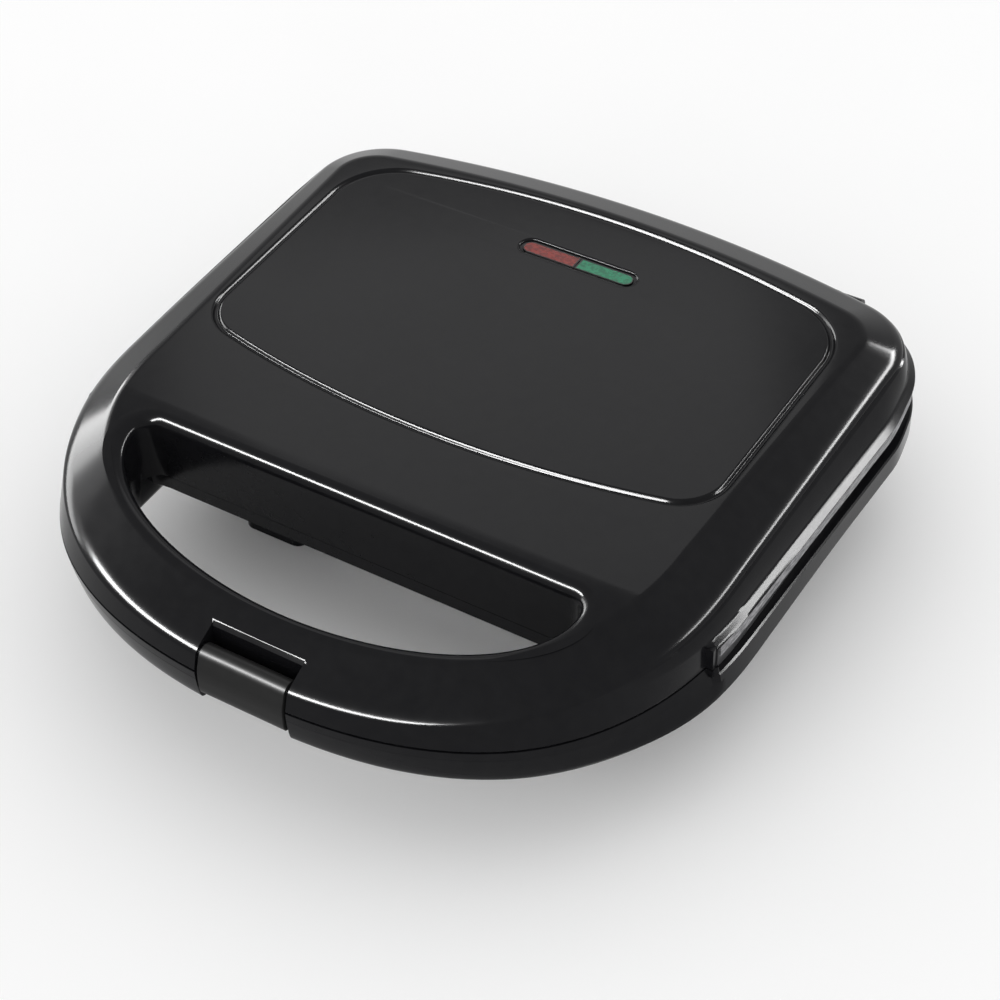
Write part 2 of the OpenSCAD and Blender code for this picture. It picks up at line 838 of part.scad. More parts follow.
// ---- plates, heaters and what belongs to them ---------------------------------

pocket_inner_x = 5.5;
pocket_outer_x = 95;
pocket_front_y = -44;
pocket_rear_y = 92;
pocket_land = 5;
pocket_corner = 7;
skirt_out = 4.4;
skirt_wall = 8.6;
plate_rear = hinge_y - knuckle_radius - 1.1;
plate_front_gap = 2.8;
plate_front_half = shoulder_half_width - 6;
hollow_front = plate_front_gap + 2.6;
reflector_bosses = [[25, 40], [-25, 40], [72, 0], [-72, 0]];
boss_height = 2 * heater_radius + 0.3;
boss_hole = 1.1;

// rounded triangle: three corner points pulled in by a distance
function triangle_ring(c, inset, z) =
  let (m = (c[0] + c[1] + c[2]) / 3)
  [for (k = [0 : 2])
    let (a = c[(k + 2) % 3])
    let (p = c[k])
    let (b = c[(k + 1) % 3])
    let (u = (a - p) / norm(a - p))
    let (v = (b - p) / norm(b - p))
    let (half = acos(u * v) / 2)
    let (w = (u + v) / norm(u + v))
    let (r = max(1, pocket_corner - inset * 0.6))
    let (q = p + w * ((r + inset) / sin(half)))
    let (from = atan2(perp(u, v)[1], perp(u, v)[0]))
    let (to = atan2(perp(v, u)[1], perp(v, u)[0]))
    for (j = [0 : 4])
      let (sweep = ((to - from) % 360 + 540) % 360 - 180)
      let (t = from + sweep * j / 4)
      [q[0] + r * cos(t), q[1] + r * sin(t), z]];

// unit vector at right angles to u, on the side away from v
function perp(u, v) =
  let (n = [u[1], -u[0]])
  (n * v > 0) ? -n : n;

// corner points of the two pockets on one side, split by a diagonal land
function pocket_corners(side, part) =
  let (x0 = pocket_inner_x)
  let (x1 = pocket_outer_x)
  let (y0 = pocket_front_y)
  let (y1 = pocket_rear_y)
  let (k = pocket_land)
  let (pts = part == 0
    ? [[x0, y0 + k * 1.2], [x1 - k, y1], [x0, y1]]
    : [[x0 + k, y0], [x1, y0], [x1, y1 - k * 1.2]])
  side > 0 ? pts : [[-pts[1][0], pts[1][1]], [-pts[0][0], pts[0][1]], [-pts[2][0], pts[2][1]]];

// frustum of a pocket from the mating face inwards; up is 1 or -1
module pocket(side, part, grow, depth, up) {
  c = pocket_corners(side, part);
  face = plate_plane + up * plate_gap / 2;
  low = triangle_ring(c, -grow, face + up * (grow > 0 ? 0.4 : -0.5));
  mid = triangle_ring(c, -grow + pocket_draft * (depth - 2), face + up * (depth - 2));
  high = triangle_ring(c, -grow + pocket_draft * depth + 1.6, face + up * depth);
  if (up > 0)
    skin([low, mid, high]);
  else
    skin([high, mid, low]);
}

// plate of either half: flange with a skirt, four pockets, screw columns and bosses
module plate(up) {
  face = plate_plane + up * plate_gap / 2;
  skirt = up > 0 ? upper_lip_height : lower_lip_height;
  low = min(face, skirt);
  back = face + up * (pocket_depth + plate_wall);
  difference() {
    union() {
      difference() {
        union() {
          // flange and skirt that show between the lips
          intersection() {
            translate([0, 0, low])
              linear_extrude(abs(skirt - face))
                polygon(grown(shoulder, skirt_out));
            translate([-150, gap_start + 0.6, low - 1])
              cube([300, plate_rear - gap_start - 0.6, 20]);
          }
          // front stretch inside the casing walls
          intersection() {
            translate([0, 0, low])
              linear_extrude(abs(skirt - face))
                polygon([for (p = body_ring(body_front + plate_front_gap, -1.6, 0)) [p[0], p[1]]]);
            translate([-plate_front_half, body_front, low - 1])
              cube([2 * plate_front_half, gap_start - body_front + 3, 20]);
          }
        }
        // the upper casing's rear wall reaches down between the hinges
        if (up > 0)
          translate([-tongue_half - 0.6, plate_rear - 1.9, low])
            cube([2 * tongue_half + 1.2, 10, 20]);
        // hollow behind the flange
        translate([-shoulder_half_width + skirt_wall, body_front + hollow_front,
          up > 0 ? face + plate_wall : face - plate_wall - 20])
          cube([2 * (shoulder_half_width - skirt_wall), plate_rear - body_front - hollow_front - 8,
            20]);
        // room for the casing's posts
        for (p = screw_places)
          translate([p[0], p[1], up > 0 ? upper_post_low : lower_post_high - 20])
            cylinder(r = 4.6, h = 20, $fn = 32);
      }
      for (side = [-1, 1])
        for (part = [0, 1])
          pocket(side, part, plate_wall, pocket_depth + plate_wall, up);
      for (p = screw_places)
        translate([p[0], p[1], up > 0 ? face + 0.5 : lower_post_high])
          cylinder(r = 5, h = plate_flange - 0.5, $fn = 32);
      for (p = reflector_bosses)
        translate([p[0], p[1], up > 0 ? back - 0.6 : back - boss_height])
          cylinder(r = 3.4, h = boss_height + 0.6, $fn = 32);
    }
    for (side = [-1, 1])
      for (part = [0, 1])
        pocket(side, part, 0, pocket_depth, up);
    for (p = screw_places) {
      translate([p[0], p[1], plate_plane - 30])
        cylinder(r = screw_radius + 0.3, h = 60, $fn = 24);
      translate([p[0], p[1], up > 0 ? face - 1 : face - 1.6])
        cylinder(r = 3, h = 2.6, $fn = 32);
    }
    for (p = reflector_bosses)
      translate([p[0], p[1], up > 0 ? back + 0.6 : back - boss_height - 1])
        cylinder(r = boss_hole, h = boss_height + 0.4, $fn = 24);
  }
}

module lower_plate() {
  color("#3a3b3d")
  plate(-1);
}

module upper_plate() {
  color("#3a3b3d")
  plate(1);
}

// screws that hold a plate to its casing
module plate_screws(up) {
  head = up > 0 ? plate_plane + plate_gap / 2 + 0.1 : plate_plane - plate_gap / 2 - 1.6;
  for (p = screw_places)
    translate([p[0], p[1], head]) {
      difference() {
        cylinder(r = 2.7, h = 1.5, $fn = 32);
        translate([0, 0, up > 0 ? -0.5 : 0.8])
          linear_extrude(1.2)
            square([3, 0.7], center = true);
      }
      translate([0, 0, up > 0 ? 1 : -9])
        cylinder(r = screw_radius, h = 9.5, $fn = 24);
    }
}

module upper_plate_screws() {
  color("#b9bcbf")
  plate_screws(1);
}

module lower_plate_screws() {
  color("#b9bcbf")
  plate_screws(-1);
}

heater_front_y = -38;
heater_rear_y = 96;
heater_half_x = 48;
heater_bend = 14;
function heater_z(up) = plate_plane + up * (plate_gap / 2 + pocket_depth + plate_wall + heater_radius + seat);

// U-shaped tubular element lying on the pockets' backs, with its cold pins
module heater(up) {
  z = heater_z(up);
  for (s = [-1, 1]) {
    translate([s * heater_half_x, heater_front_y + heater_bend, z])
      rotate([-90, 0, 0])
        cylinder(r = heater_radius, h = heater_rear_y - heater_front_y - heater_bend);
    translate([s * heater_half_x, heater_rear_y - 1, z])
      rotate([-90, 0, 0])
        cylinder(r = cold_pin_radius, h = 9, $fn = 24);
    translate([s * (heater_half_x - heater_bend), heater_front_y + heater_bend, z])
      rotate([0, 0, s > 0 ? -90 : 180])
        rotate_extrude(angle = 90)
          translate([heater_bend, 0])
            circle(r = heater_radius);
  }
  translate([-heater_half_x + heater_bend, heater_front_y, z])
    rotate([0, 90, 0])
      cylinder(r = heater_radius, h = 2 * (heater_half_x - heater_bend));
}

module upper_heater() {
  color("#7d7a74")
  heater(1);
}

module lower_heater() {
  color("#7d7a74")
  heater(-1);
}

// pressed sheet tray that shields the casing and presses the heater on the plate
module reflector(up) {
  near = reflector_face(up);
  low = up > 0 ? near : near - sheet;
  lip_low = up > 0 ? near - tray_rim : near - sheet;
  y0 = heater_front_y - 6.4;
  length = heater_rear_y - 4 - y0;
  difference() {
    union() {
      translate([-tray_half, y0, low])
        cube([2 * tray_half, length, sheet]);
      for (s = [-1, 1])
        translate([s * (tray_half - sheet / 2) - sheet / 2, y0, lip_low])
          cube([sheet, length, tray_rim + sheet]);
      translate([-tray_half, y0, lip_low])
        cube([2 * tray_half, sheet, tray_rim + sheet]);
    }
    for (p = reflector_bosses)
      translate([p[0], p[1], low - 5])
        cylinder(r = boss_hole + 0.4, h = 10, $fn = 24);
    if (up > 0)
      translate([-tray_notch, window_y - 12, low - 5])
        cube([2 * tray_notch, 60, 10]);
    else
      translate([-15, thermostat_y - 12, low - 5])
        cube([30, 24, 10]);
  }
}

sheet = 0.6;
tray_half = 86;
tray_rim = 3;
tray_notch = 36;
function reflector_face(up) = plate_plane
  + up * (plate_gap / 2 + pocket_depth + plate_wall + boss_height + seat);

module upper_reflector() {
  color("#c9cbcd")
  reflector(1);
}

module lower_reflector() {
  color("#c9cbcd")
  reflector(-1);
}

// low-headed screws that hold a reflector to the plate's bosses
module reflector_screws(up) {
  head = 0.9;
  face = reflector_face(up) + up * sheet;
  for (p = reflector_bosses)
    translate([p[0], p[1], face]) {
      translate([0, 0, up > 0 ? 0 : -head])
        cylinder(r = 2.6, h = head, $fn = 32);
      translate([0, 0, up > 0 ? -5.5 : -0.2])
        cylinder(r = boss_hole - 0.02, h = 5.7, $fn = 24);
    }
}

module upper_reflector_screws() {
  color("#b9bcbf")
  reflector_screws(1);
}

module lower_reflector_screws() {
  color("#b9bcbf")
  reflector_screws(-1);
}

// ---- wiring and controls in the base ------------------------------------------

thermostat_y = 62;
fuse_x = -30;
fuse_y = 86;
block_x = -34;
block_y = 76;
block_z = base_bottom + casing_wall + seat;
block_height = 11;
lower_back = plate_plane - plate_gap / 2 - pocket_depth - plate_wall;

// disc thermostat pressed against the lower plate's back by its bracket
module thermostat() {
  color("#cfc7b4")
  translate([0, thermostat_y, lower_back - seat])
    union() {
      translate([0, 0, -1.6])
        cylinder(r = 7.4, h = 1.6);
      translate([0, 0, -7.4])
        cylinder(r = 8.2, h = 6);
      for (s = [-1, 1]) {
        translate([s * 11 - 5.5, -3.5, -1.2])
          cube([11, 7, 0.8]);
        translate([s * 5 - 0.4, -3, -13])
          cube([0.8, 6, 6]);
      }
    }
}

// thermal fuse under the lower reflector, in its sleeve with two leads
module thermal_fuse() {
  z = reflector_face(-1) - sheet - 2 - seat;
  color("#c9a24a")
  translate([fuse_x - 5.5, fuse_y, z])
    rotate([0, 90, 0]) {
      cylinder(r = 2, h = 11, $fn = 32);
      translate([0, 0, -9])
        cylinder(r = 0.6, h = 29, $fn = 24);
    }
}

// three-way ceramic terminal block on the base's floor
module terminal_block() {
  color("#e6e1d4")
  translate([block_x, block_y, block_z])
    difference() {
      union() {
        cube([32, 14, block_height - 3]);
        for (i = [0 : 2])
          translate([1.5 + i * 10.3, 2.5, block_height - 4])
            cube([8.4, 9, 4]);
      }
      for (i = [0 : 2]) {
        translate([5.7 + i * 10.3, -1, 4.6])
          rotate([-90, 0, 0])
            cylinder(r = 1.7, h = 16, $fn = 32);
        translate([5.7 + i * 10.3, 7, 5])
          cylinder(r = 2.2, h = 8, $fn = 32);
      }
    }
}

// insulated wire through a list of points
module wire(points, r) {
  for (i = [0 : len(points) - 2]) {
    d = points[i + 1] - points[i];
    translate(points[i])
      rotate([0, acos(d[2] / norm(d)), atan2(d[1], d[0])])
        cylinder(r = r, h = norm(d), $fn = 24);
    if (i > 0)
      translate(points[i])
        sphere(r = r * wire_knee, $fn = 24);
  }
}

wire_radius = 0.9;
// a knee's ball covers two cylinders that meet at up to a right angle
wire_knee = 1.45;
cold_pin_radius = 1.1;
// distance of a wire's end from its heater pin's axis
pin_reach = cold_pin_radius + 0.5;

// height of the wires inside the terminal block
wire_z = block_z + 4.6;

module lower_wires() {
  pin = heater_z(-1);
  y_pin = heater_rear_y + 7;
  color("#b9b3a6") {
    wire([[gland_x - 1.6, gland_seat_y - 13.5, gland_z], [block_x + 5.7, block_y + 17, wire_z],
      [block_x + 5.7, block_y + 9, wire_z]], wire_radius);
    wire([[gland_x + 1.6, gland_seat_y - 13.5, gland_z], [block_x + 16, block_y + 17, wire_z],
      [block_x + 16, block_y + 9, wire_z]], wire_radius);
    wire([[block_x + 5.7, block_y + 4, wire_z], [block_x + 5.7, block_y - 4, wire_z],
      [-64, block_y + 4, 22], [-60, y_pin, 28], [-heater_half_x - pin_reach, y_pin, pin]],
      wire_radius);
    wire([[block_x + 26.3, block_y + 4, wire_z], [block_x + 26.3, block_y - 4, wire_z],
      [56, block_y + 4, 22], [60, y_pin, 28], [heater_half_x + pin_reach, y_pin, pin]],
      wire_radius);
  }
}

module upper_wires() {
  pin = heater_z(1);
  y_pin = heater_rear_y + 7;
  color("#b9b3a6")
  for (s = [-1, 1])
    wire([[s * 17.6, window_y, lamp_z + 0.9], [s * (heater_half_x - pin_reach), y_pin, pin]],
      0.6);
}

// ---- which piece is shown ----------------------------------------------------

upper_housing();
lower_housing();
upper_plate();
lower_plate();
upper_heater();
lower_heater();
upper_reflector();
lower_reflector();
upper_plate_screws();
lower_plate_screws();
upper_reflector_screws();
lower_reflector_screws();
thermostat();
thermal_fuse();
terminal_block();
upper_wires();
lower_wires();
latch();
latch_pin();
latch_catch();
hinge_pins();
rubber_feet();
cord_gland();
red_lens();
green_lens();
lamp_bracket();
neon_lamps();
lamp_screws();
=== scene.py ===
import math

import bmesh
import bpy
import numpy as np
from mathutils import Matrix, Vector
from mathutils.geometry import tessellate_polygon


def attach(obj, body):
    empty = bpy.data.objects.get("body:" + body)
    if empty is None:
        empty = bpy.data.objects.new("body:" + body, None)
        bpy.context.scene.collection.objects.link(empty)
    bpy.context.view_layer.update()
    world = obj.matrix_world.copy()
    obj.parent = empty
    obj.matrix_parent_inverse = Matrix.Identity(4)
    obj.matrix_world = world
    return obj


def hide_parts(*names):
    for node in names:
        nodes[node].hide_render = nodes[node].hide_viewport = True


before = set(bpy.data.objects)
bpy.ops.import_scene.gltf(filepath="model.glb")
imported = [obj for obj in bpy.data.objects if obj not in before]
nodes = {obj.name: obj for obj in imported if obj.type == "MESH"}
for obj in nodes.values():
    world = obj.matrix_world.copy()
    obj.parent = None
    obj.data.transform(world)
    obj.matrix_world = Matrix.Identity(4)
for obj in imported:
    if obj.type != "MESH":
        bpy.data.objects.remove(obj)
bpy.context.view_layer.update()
scene = bpy.context.scene

# ---- camera --------------------------------------------------------------------------
# A long lens looks down at the toaster from the front right, turned by two degrees.
# The square picture is 36 mm wide on the sensor.
AZIMUTH, ELEVATION, ROLL = (math.radians(a) for a in (32.623, 43.381, -1.97))
back = np.array([math.sin(AZIMUTH) * math.cos(ELEVATION),
                 -math.cos(AZIMUTH) * math.cos(ELEVATION), math.sin(ELEVATION)])
level = np.array([math.cos(AZIMUTH), math.sin(AZIMUTH), 0.0])
upward = np.cross(back, level)
right = math.cos(ROLL) * level + math.sin(ROLL) * upward
up = np.cross(back, right)
lens = bpy.data.cameras.new("studio_camera")
lens.sensor_width = 36.0
lens.lens = 83.38
lens.clip_start, lens.clip_end = 0.05, 20.0
camera = bpy.data.objects.new("studio_camera", lens)
camera.matrix_world = Matrix([[*row, place] for row, place in zip(
    np.array([right, up, back]).T.tolist(), (0.3073, -0.4610, 0.5432))] + [[0, 0, 0, 1]])
scene.collection.objects.link(camera)
scene.camera = camera

# ---- floor, backdrop and lamps -------------------------------------------------------
# A seamless white table under an even white sky, which gives the soft light. The
# boxes only show in reflections: a weak wide one behind the deck, and strips that
# draw the edges from the rear right, the left and the front.
scene.view_settings.view_transform = "Standard"


class Socket:
    """A shader socket. Sums and products of sockets add Math nodes to their tree."""

    def __init__(self, tree, out=None):
        self.tree, self.out = tree, out

    def node(self, kind, settings=None, values=None, out=0):
        """Adds a node: settings first, then the values or links of its sockets."""
        new = self.tree.nodes.new("ShaderNode" + kind)
        for name, value in (settings or {}).items():
            setattr(new, name, value)
        for name, value in (values or {}).items():
            if isinstance(value, Socket):
                self.tree.links.new(value.out, new.inputs[name])
            else:
                new.inputs[name].default_value = value
        return Socket(self.tree, new.outputs[out])

    def math(self, operation, *values):
        return self.node("Math", {"operation": operation}, dict(enumerate(values)))

    def __add__(self, other):
        return self.math("ADD", self, other)

    def __sub__(self, other):
        return self.math("SUBTRACT", self, other)

    def __mul__(self, other):
        return self.math("MULTIPLY", self, other)

    def __rsub__(self, other):
        return self.math("SUBTRACT", other, self)

    __radd__, __rmul__ = __add__, __mul__

    def step(self, low, high):
        """0 below low, 1 above high and a smooth rise between them."""
        return self.node("MapRange", {"interpolation_type": "SMOOTHSTEP"},
                         {"Value": self, "From Min": low, "From Max": high})

    def mix(self, first, second):
        """The colour first where this socket is 0 and second where it is 1."""
        return self.node("Mix", {"data_type": "RGBA"},
                         {0: self, 6: first, 7: second}, out=2)


def finish(name, build, **constants):
    """A material: constants go on the shader's own sockets, and build(start) returns
    the sockets that vary over the surface, by input name."""
    material = bpy.data.materials.new(name)
    material.use_nodes = True
    tree = material.node_tree
    shader = tree.nodes["Principled BSDF"]
    for socket, value in constants.items():
        shader.inputs[socket.replace("_", " ")].default_value = value
    for socket, value in build(Socket(tree)).items():
        tree.links.new(value.out, shader.inputs[socket])
    return material


def noise(start, scale, detail=2.0, roughness=0.5, place=None):
    """Fine noise in the object's own space; scale counts waves per metre."""
    place = place or start.node("TexCoord", out="Object")
    return start.node("TexNoise", None, {"Vector": place, "Scale": scale,
                                         "Detail": detail, "Roughness": roughness})


def bump(start, height, depth):
    """Bump node for a height socket, with the depth of its full swing in metres."""
    return start.node("Bump", None, {"Height": height, "Strength": 1.0,
                                     "Distance": depth})


def table_finish(start):
    return {"Base Color": noise(start, 9.0).step(0.2, 0.8).mix(
        (0.98, 0.98, 0.98, 1), (0.99, 0.99, 0.99, 1))}


TABLE = 3.0
floor_mesh = bpy.data.meshes.new("table")
floor_mesh.from_pydata([(x * TABLE, y * TABLE, 0) for x, y in
                        ((-1, -1), (1, -1), (1, 1), (-1, 1))], [], [(0, 1, 2, 3)])
floor = bpy.data.objects.new("table", floor_mesh)
floor_mesh.materials.append(finish("table_white", table_finish, Roughness=0.9,
                                   Specular_IOR_Level=0.0))
scene.collection.objects.link(floor)

world = bpy.data.worlds.new("studio")
world.use_nodes = True
scene.world = world
backdrop = world.node_tree.nodes["Background"]
backdrop.inputs["Color"].default_value = (1, 1, 1, 1)
backdrop.inputs["Strength"].default_value = 1.0

# every box looks at AIM: name, place, width, height in metres, power in watts
AIM = (0, 0, 0.05)
SOFT_BOXES = (
    ("deck_box", (-0.62, 0.95, 1.12), 0.6, 0.45, 1.5),
    ("right_strip", (0.93, 0.82, 0.57), 1.3, 0.13, 40.0),
    ("left_box", (-1.3, 0.08, 0.36), 1.1, 0.36, 28.0),
    ("left_glow", (-1.15, 0.12, 0.62), 1.1, 0.3, 4.5),
    ("front_strip", (-0.55, -0.97, 0.92), 1.8, 0.24, 270.0),
)
for name, place, width, height, power in SOFT_BOXES:
    lamp = bpy.data.lights.new(name, "AREA")
    lamp.shape, lamp.size, lamp.size_y, lamp.energy = "RECTANGLE", width, height, power
    box = bpy.data.objects.new(name, lamp)
    box.location = place
    box.rotation_euler = (Vector(place) - Vector(AIM)).to_track_quat("Z", "Y").to_euler()
    box.visible_diffuse = False
    scene.collection.objects.link(box)

# ---- upper casing --------------------------------------------------------------------
# The lid's glossy black moulding: a flat top that falls away towards the handle, a
# bevel, a rounded shoulder and steep walls that end in a flared lip at the sides.
# It is one shell 2.6 mm thick with the finger opening rolled into its rim.
MM = 0.001
TOP, JOINT, WALL = 70.0, 45.5, 2.6
UPPER_FACE, LOWER_FACE = JOINT + 0.15, JOINT - 0.15
UPPER_LIP, LOWER_LIP, PLATE_PLANE = 52.8, 43.2, 48.0
FRONT, REAR, HALF = -122.4, 117.0, 110.4
GAP_START, FLAT_END = -46.0, -53.0
# the shoulder line lies SIDE_DROP under the top and falls from FALL_START to the front
# by FRONT_DROP, and the deck falls from FLAT_END to DECK_FRONT by DECK_DROP
FALL_START, SIDE_DROP, FRONT_DROP, DECK_DROP, DECK_FRONT = 45.6, 6.7, 10.8, 10.6, -106.2
# a lip's reach at its front end, and where it starts to shrink towards the rear corner
UPPER_REACH, LOWER_REACH = (5.4, 62.0), (6.2, 66.0)
REACH_GROWTH, CORNER_REACH, CORNER_Y = 2.8, 4.9, 96
# the share of its reach that the upper lip's edge holds, in millimetres, and the height
# of each lip's flat edge and of the slope behind it
LIP_EDGE, UPPER_FLARE, LOWER_FLARE = 2.5, (0.25, 2.1), (8.0, 3.6)
RIB_IN, RIB_OUT, RIB_DEPTH, RIB_SEAT = 109.5, 114.2, 2.4, 0.8
OPEN_REAR, OPEN_FRONT, OPEN_HALF, OPEN_CORNER = -60.6, -101.1, 79.6, 6.0
WINDOW_X, WINDOW_Y, WINDOW_R = 18.0, 72.2, 3.2
LATCH_HALF, LATCH_GAP = 15.5, 0.7
NOTCH_HALF, NOTCH_REAR = LATCH_HALF + LATCH_GAP, -113.4
PIVOT, PIVOT_BORE, BOSS = np.array([-119.2, 49.5]), 1.27, 3.6
HINGE_Y, HINGE_Z, KNUCKLE, HINGE_X, PIN = REAR + 3.0, PLATE_PLANE, 4.4, 70.0, 2.01
SCREWS, POST = ((100, -36), (-100, -36), (94, 90), (-94, 90)), 4


def rear_end(width, rear, bow, corner):
    """Right half of a rear edge: a round corner, then an arc of radius bow that ends
    in the middle at rear."""
    across, centre = width - corner, rear - bow
    corner_y = centre + math.sqrt((bow - corner) ** 2 - across ** 2)
    turn = math.atan2(corner_y - centre, across)
    t = np.linspace(0, turn, 20)
    round_end = np.c_[across + corner * np.cos(t), corner_y + corner * np.sin(t)]
    t = np.linspace(turn, math.pi / 2, 30)[1:]
    return np.vstack([round_end, np.c_[bow * np.cos(t), centre + bow * np.sin(t)]])


def mirrored(half):
    """Closed loop from its right half, which starts and ends on the middle line."""
    return np.vstack([half, half[-2:0:-1] * (-1, 1)])


def outline(width, front, start, power, rear, bow, corner, taper=7e-5):
    """Closed plan outline: a superellipse in front, straight sides that widen by
    taper, and a rear_end. Anticlockwise from the front."""
    t = np.radians(np.linspace(90, 0, 90))
    nose = np.c_[width * np.cos(t) ** (2 / power),
                 start + (front - start) * np.sin(t) ** (2 / power)]
    nose[0, 0] = 0.0
    end = rear_end(width, rear, bow, corner)
    side = np.c_[np.full(34, width), np.linspace(start, end[0, 1], 36)[1:-1]]
    rest = np.vstack([side, end])
    rest[:, 0] *= 1 + taper * (rest[:, 1] - start)
    half = np.vstack([nose, rest])
    half[-1, 0] = 0.0
    return mirrored(half)


def outward(loop):
    """Unit normals of a closed anticlockwise loop, from its neighbours' chord."""
    chord = np.roll(loop, -1, axis=0) - np.roll(loop, 1, axis=0)
    normal = np.c_[chord[:, 1], -chord[:, 0]]
    return normal / np.linalg.norm(normal, axis=1)[:, None]


def grown(loop, by):
    return loop + outward(loop) * np.reshape(by, (-1, 1))


def raised(loop, z):
    """A plan loop at the heights z, as points in space."""
    return np.c_[loop, np.broadcast_to(z, len(loop))]


def bend(start, knee, end, count):
    """Rows on the quadratic curve from start to end that its two tangents meet in knee."""
    t = np.linspace(0, 1, count)[:, None, None]
    return list((1 - t) ** 2 * start + 2 * t * (1 - t) * knee + t ** 2 * end)


def straight(start, end, count):
    """Rows between two rows, without either end."""
    t = np.linspace(0, 1, count + 2)[1:-1, None, None]
    return list(start + (end - start) * t)


def strips(rows):
    """Points and quads of a grid of closed rows with the same number of points."""
    rows = np.array(rows)
    height, width = rows.shape[:2]
    a, b = np.meshgrid(np.arange(height - 1), np.arange(width), indexing="ij")
    c = (b + 1) % width
    quads = np.stack([a * width + b, a * width + c, (a + 1) * width + c,
                      (a + 1) * width + b], axis=-1).reshape(-1, 4)
    return rows.reshape(-1, 3), quads.tolist()


def filled(*loops):
    """Triangles that fill the first flat loop and leave the other loops open."""
    points = np.vstack(loops)
    flat = [[Vector((*p[:2], 0)) for p in loop.tolist()] for loop in loops]
    return points, [list(t) for t in tessellate_polygon(flat)]


def piece(name, parts):
    """A closed mesh object from parts given in millimetres, with doubles merged and
    the faces turned outwards."""
    points, faces, base = [], [], 0
    for part_points, part_faces in parts:
        points.append(part_points)
        faces += [[base + i for i in face] for face in part_faces]
        base += len(part_points)
    mesh = bpy.data.meshes.new(name)
    mesh.from_pydata((np.vstack(points) * MM).tolist(), [], faces)
    work = bmesh.new()
    work.from_mesh(mesh)
    bmesh.ops.remove_doubles(work, verts=work.verts, dist=2e-6)
    bmesh.ops.dissolve_degenerate(work, edges=work.edges, dist=1e-7)
    bmesh.ops.recalc_face_normals(work, faces=work.faces)
    work.to_mesh(mesh)
    work.free()
    made = bpy.data.objects.new(name, mesh)
    scene.collection.objects.link(made)
    return made


def loft(name, rows):
    """A closed solid through closed rows, with both ends filled."""
    return piece(name, [strips(rows), filled(rows[0]), filled(rows[-1])])


def prism(name, loop, low, high):
    return loft(name, [raised(loop, low), raised(loop, high)])


def block(name, low, high):
    """A box as a prism, from its lowest to its highest corner."""
    (x, y), (far_x, far_y) = low[:2], high[:2]
    corners = np.array([(x, y), (far_x, y), (far_x, far_y), (x, far_y)], float)
    return prism(name, corners, low[2], high[2])


def carve(body, tools, operation="DIFFERENCE"):
    """Cuts tools out of a closed body, or joins them to it, and removes the tools."""
    for tool in tools:
        step = body.modifiers.new("carve", "BOOLEAN")
        step.operation, step.solver, step.object = operation, "MANIFOLD", tool
    bpy.context.view_layer.update()
    result = bpy.data.meshes.new_from_object(
        body.evaluated_get(bpy.context.evaluated_depsgraph_get()))
    body.modifiers.clear()
    body.data = result
    for tool in tools:
        bpy.data.objects.remove(tool)
    return body


def smooth(body, angle=32.0):
    """Smooth shading that keeps edges sharper than angle, with large faces flat."""
    mesh = body.data
    mesh.polygons.foreach_set("use_smooth", [True] * len(mesh.polygons))
    mesh.set_sharp_from_angle(angle=math.radians(angle))
    weighted = body.modifiers.new("weighted", "WEIGHTED_NORMAL")
    weighted.mode, weighted.keep_sharp = "FACE_AREA_WITH_ANGLE", True
    return body


def finished(body, material, rides, slot, *replaced):
    """Material, body, slot and replaced nodes of a finished piece; the slot is not used."""
    body.data.materials.clear()
    body.data.materials.append(material)
    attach(body, rides)
    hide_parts(*replaced)


def shoulder_height(y):
    """Height of the shoulder line, which falls towards the handle's front."""
    fall = np.clip((FALL_START - y) / (FALL_START - FRONT), 0, None)
    return TOP - SIDE_DROP - FRONT_DROP * fall ** 3.15


def deck_height(y):
    """Height of the top surface: flat, and falling in front of FLAT_END."""
    fall = np.clip((FLAT_END - y) / (FLAT_END - DECK_FRONT), 0, None)
    return TOP - DECK_DROP * fall ** 1.5


def lip_edge(y, base, reach):
    """Reach of a lip's edge: grows to the rear, follows the plate round the corner and
    ends flush behind it. reach holds its start and the place where it shrinks."""
    along = np.clip((y - GAP_START) / 115, 0, 1)
    rear = ease(y, reach[1], CORNER_Y)
    out = (reach[0] + REACH_GROWTH * along) * (1 - rear) + CORNER_REACH * rear
    return np.maximum(base + 0.35, out * (1 - ease(y, 104, 109.5)))


def flare(height, flat, slope):
    """Share of a lip's reach at a height from its edge: full over flat, then falling
    over slope."""
    return np.clip((slope + flat - height) / slope, 0, 1)


def ease(value, low, high):
    t = np.clip((value - low) / (high - low), 0, 1)
    return t * t * (3 - 2 * t)


shoulder = outline(HALF, FRONT, -25, 2.377, REAR, 418, 26)
shoulder_out = outward(shoulder)
shoulder_y = shoulder[:, 1]
draft = 0.3 - 0.1 * ease(np.abs(shoulder[:, 0]), 75, 108)
bevel = outline(95.6, DECK_FRONT, -31, 2.4, 101.5, 388, 15, taper=0.00042)


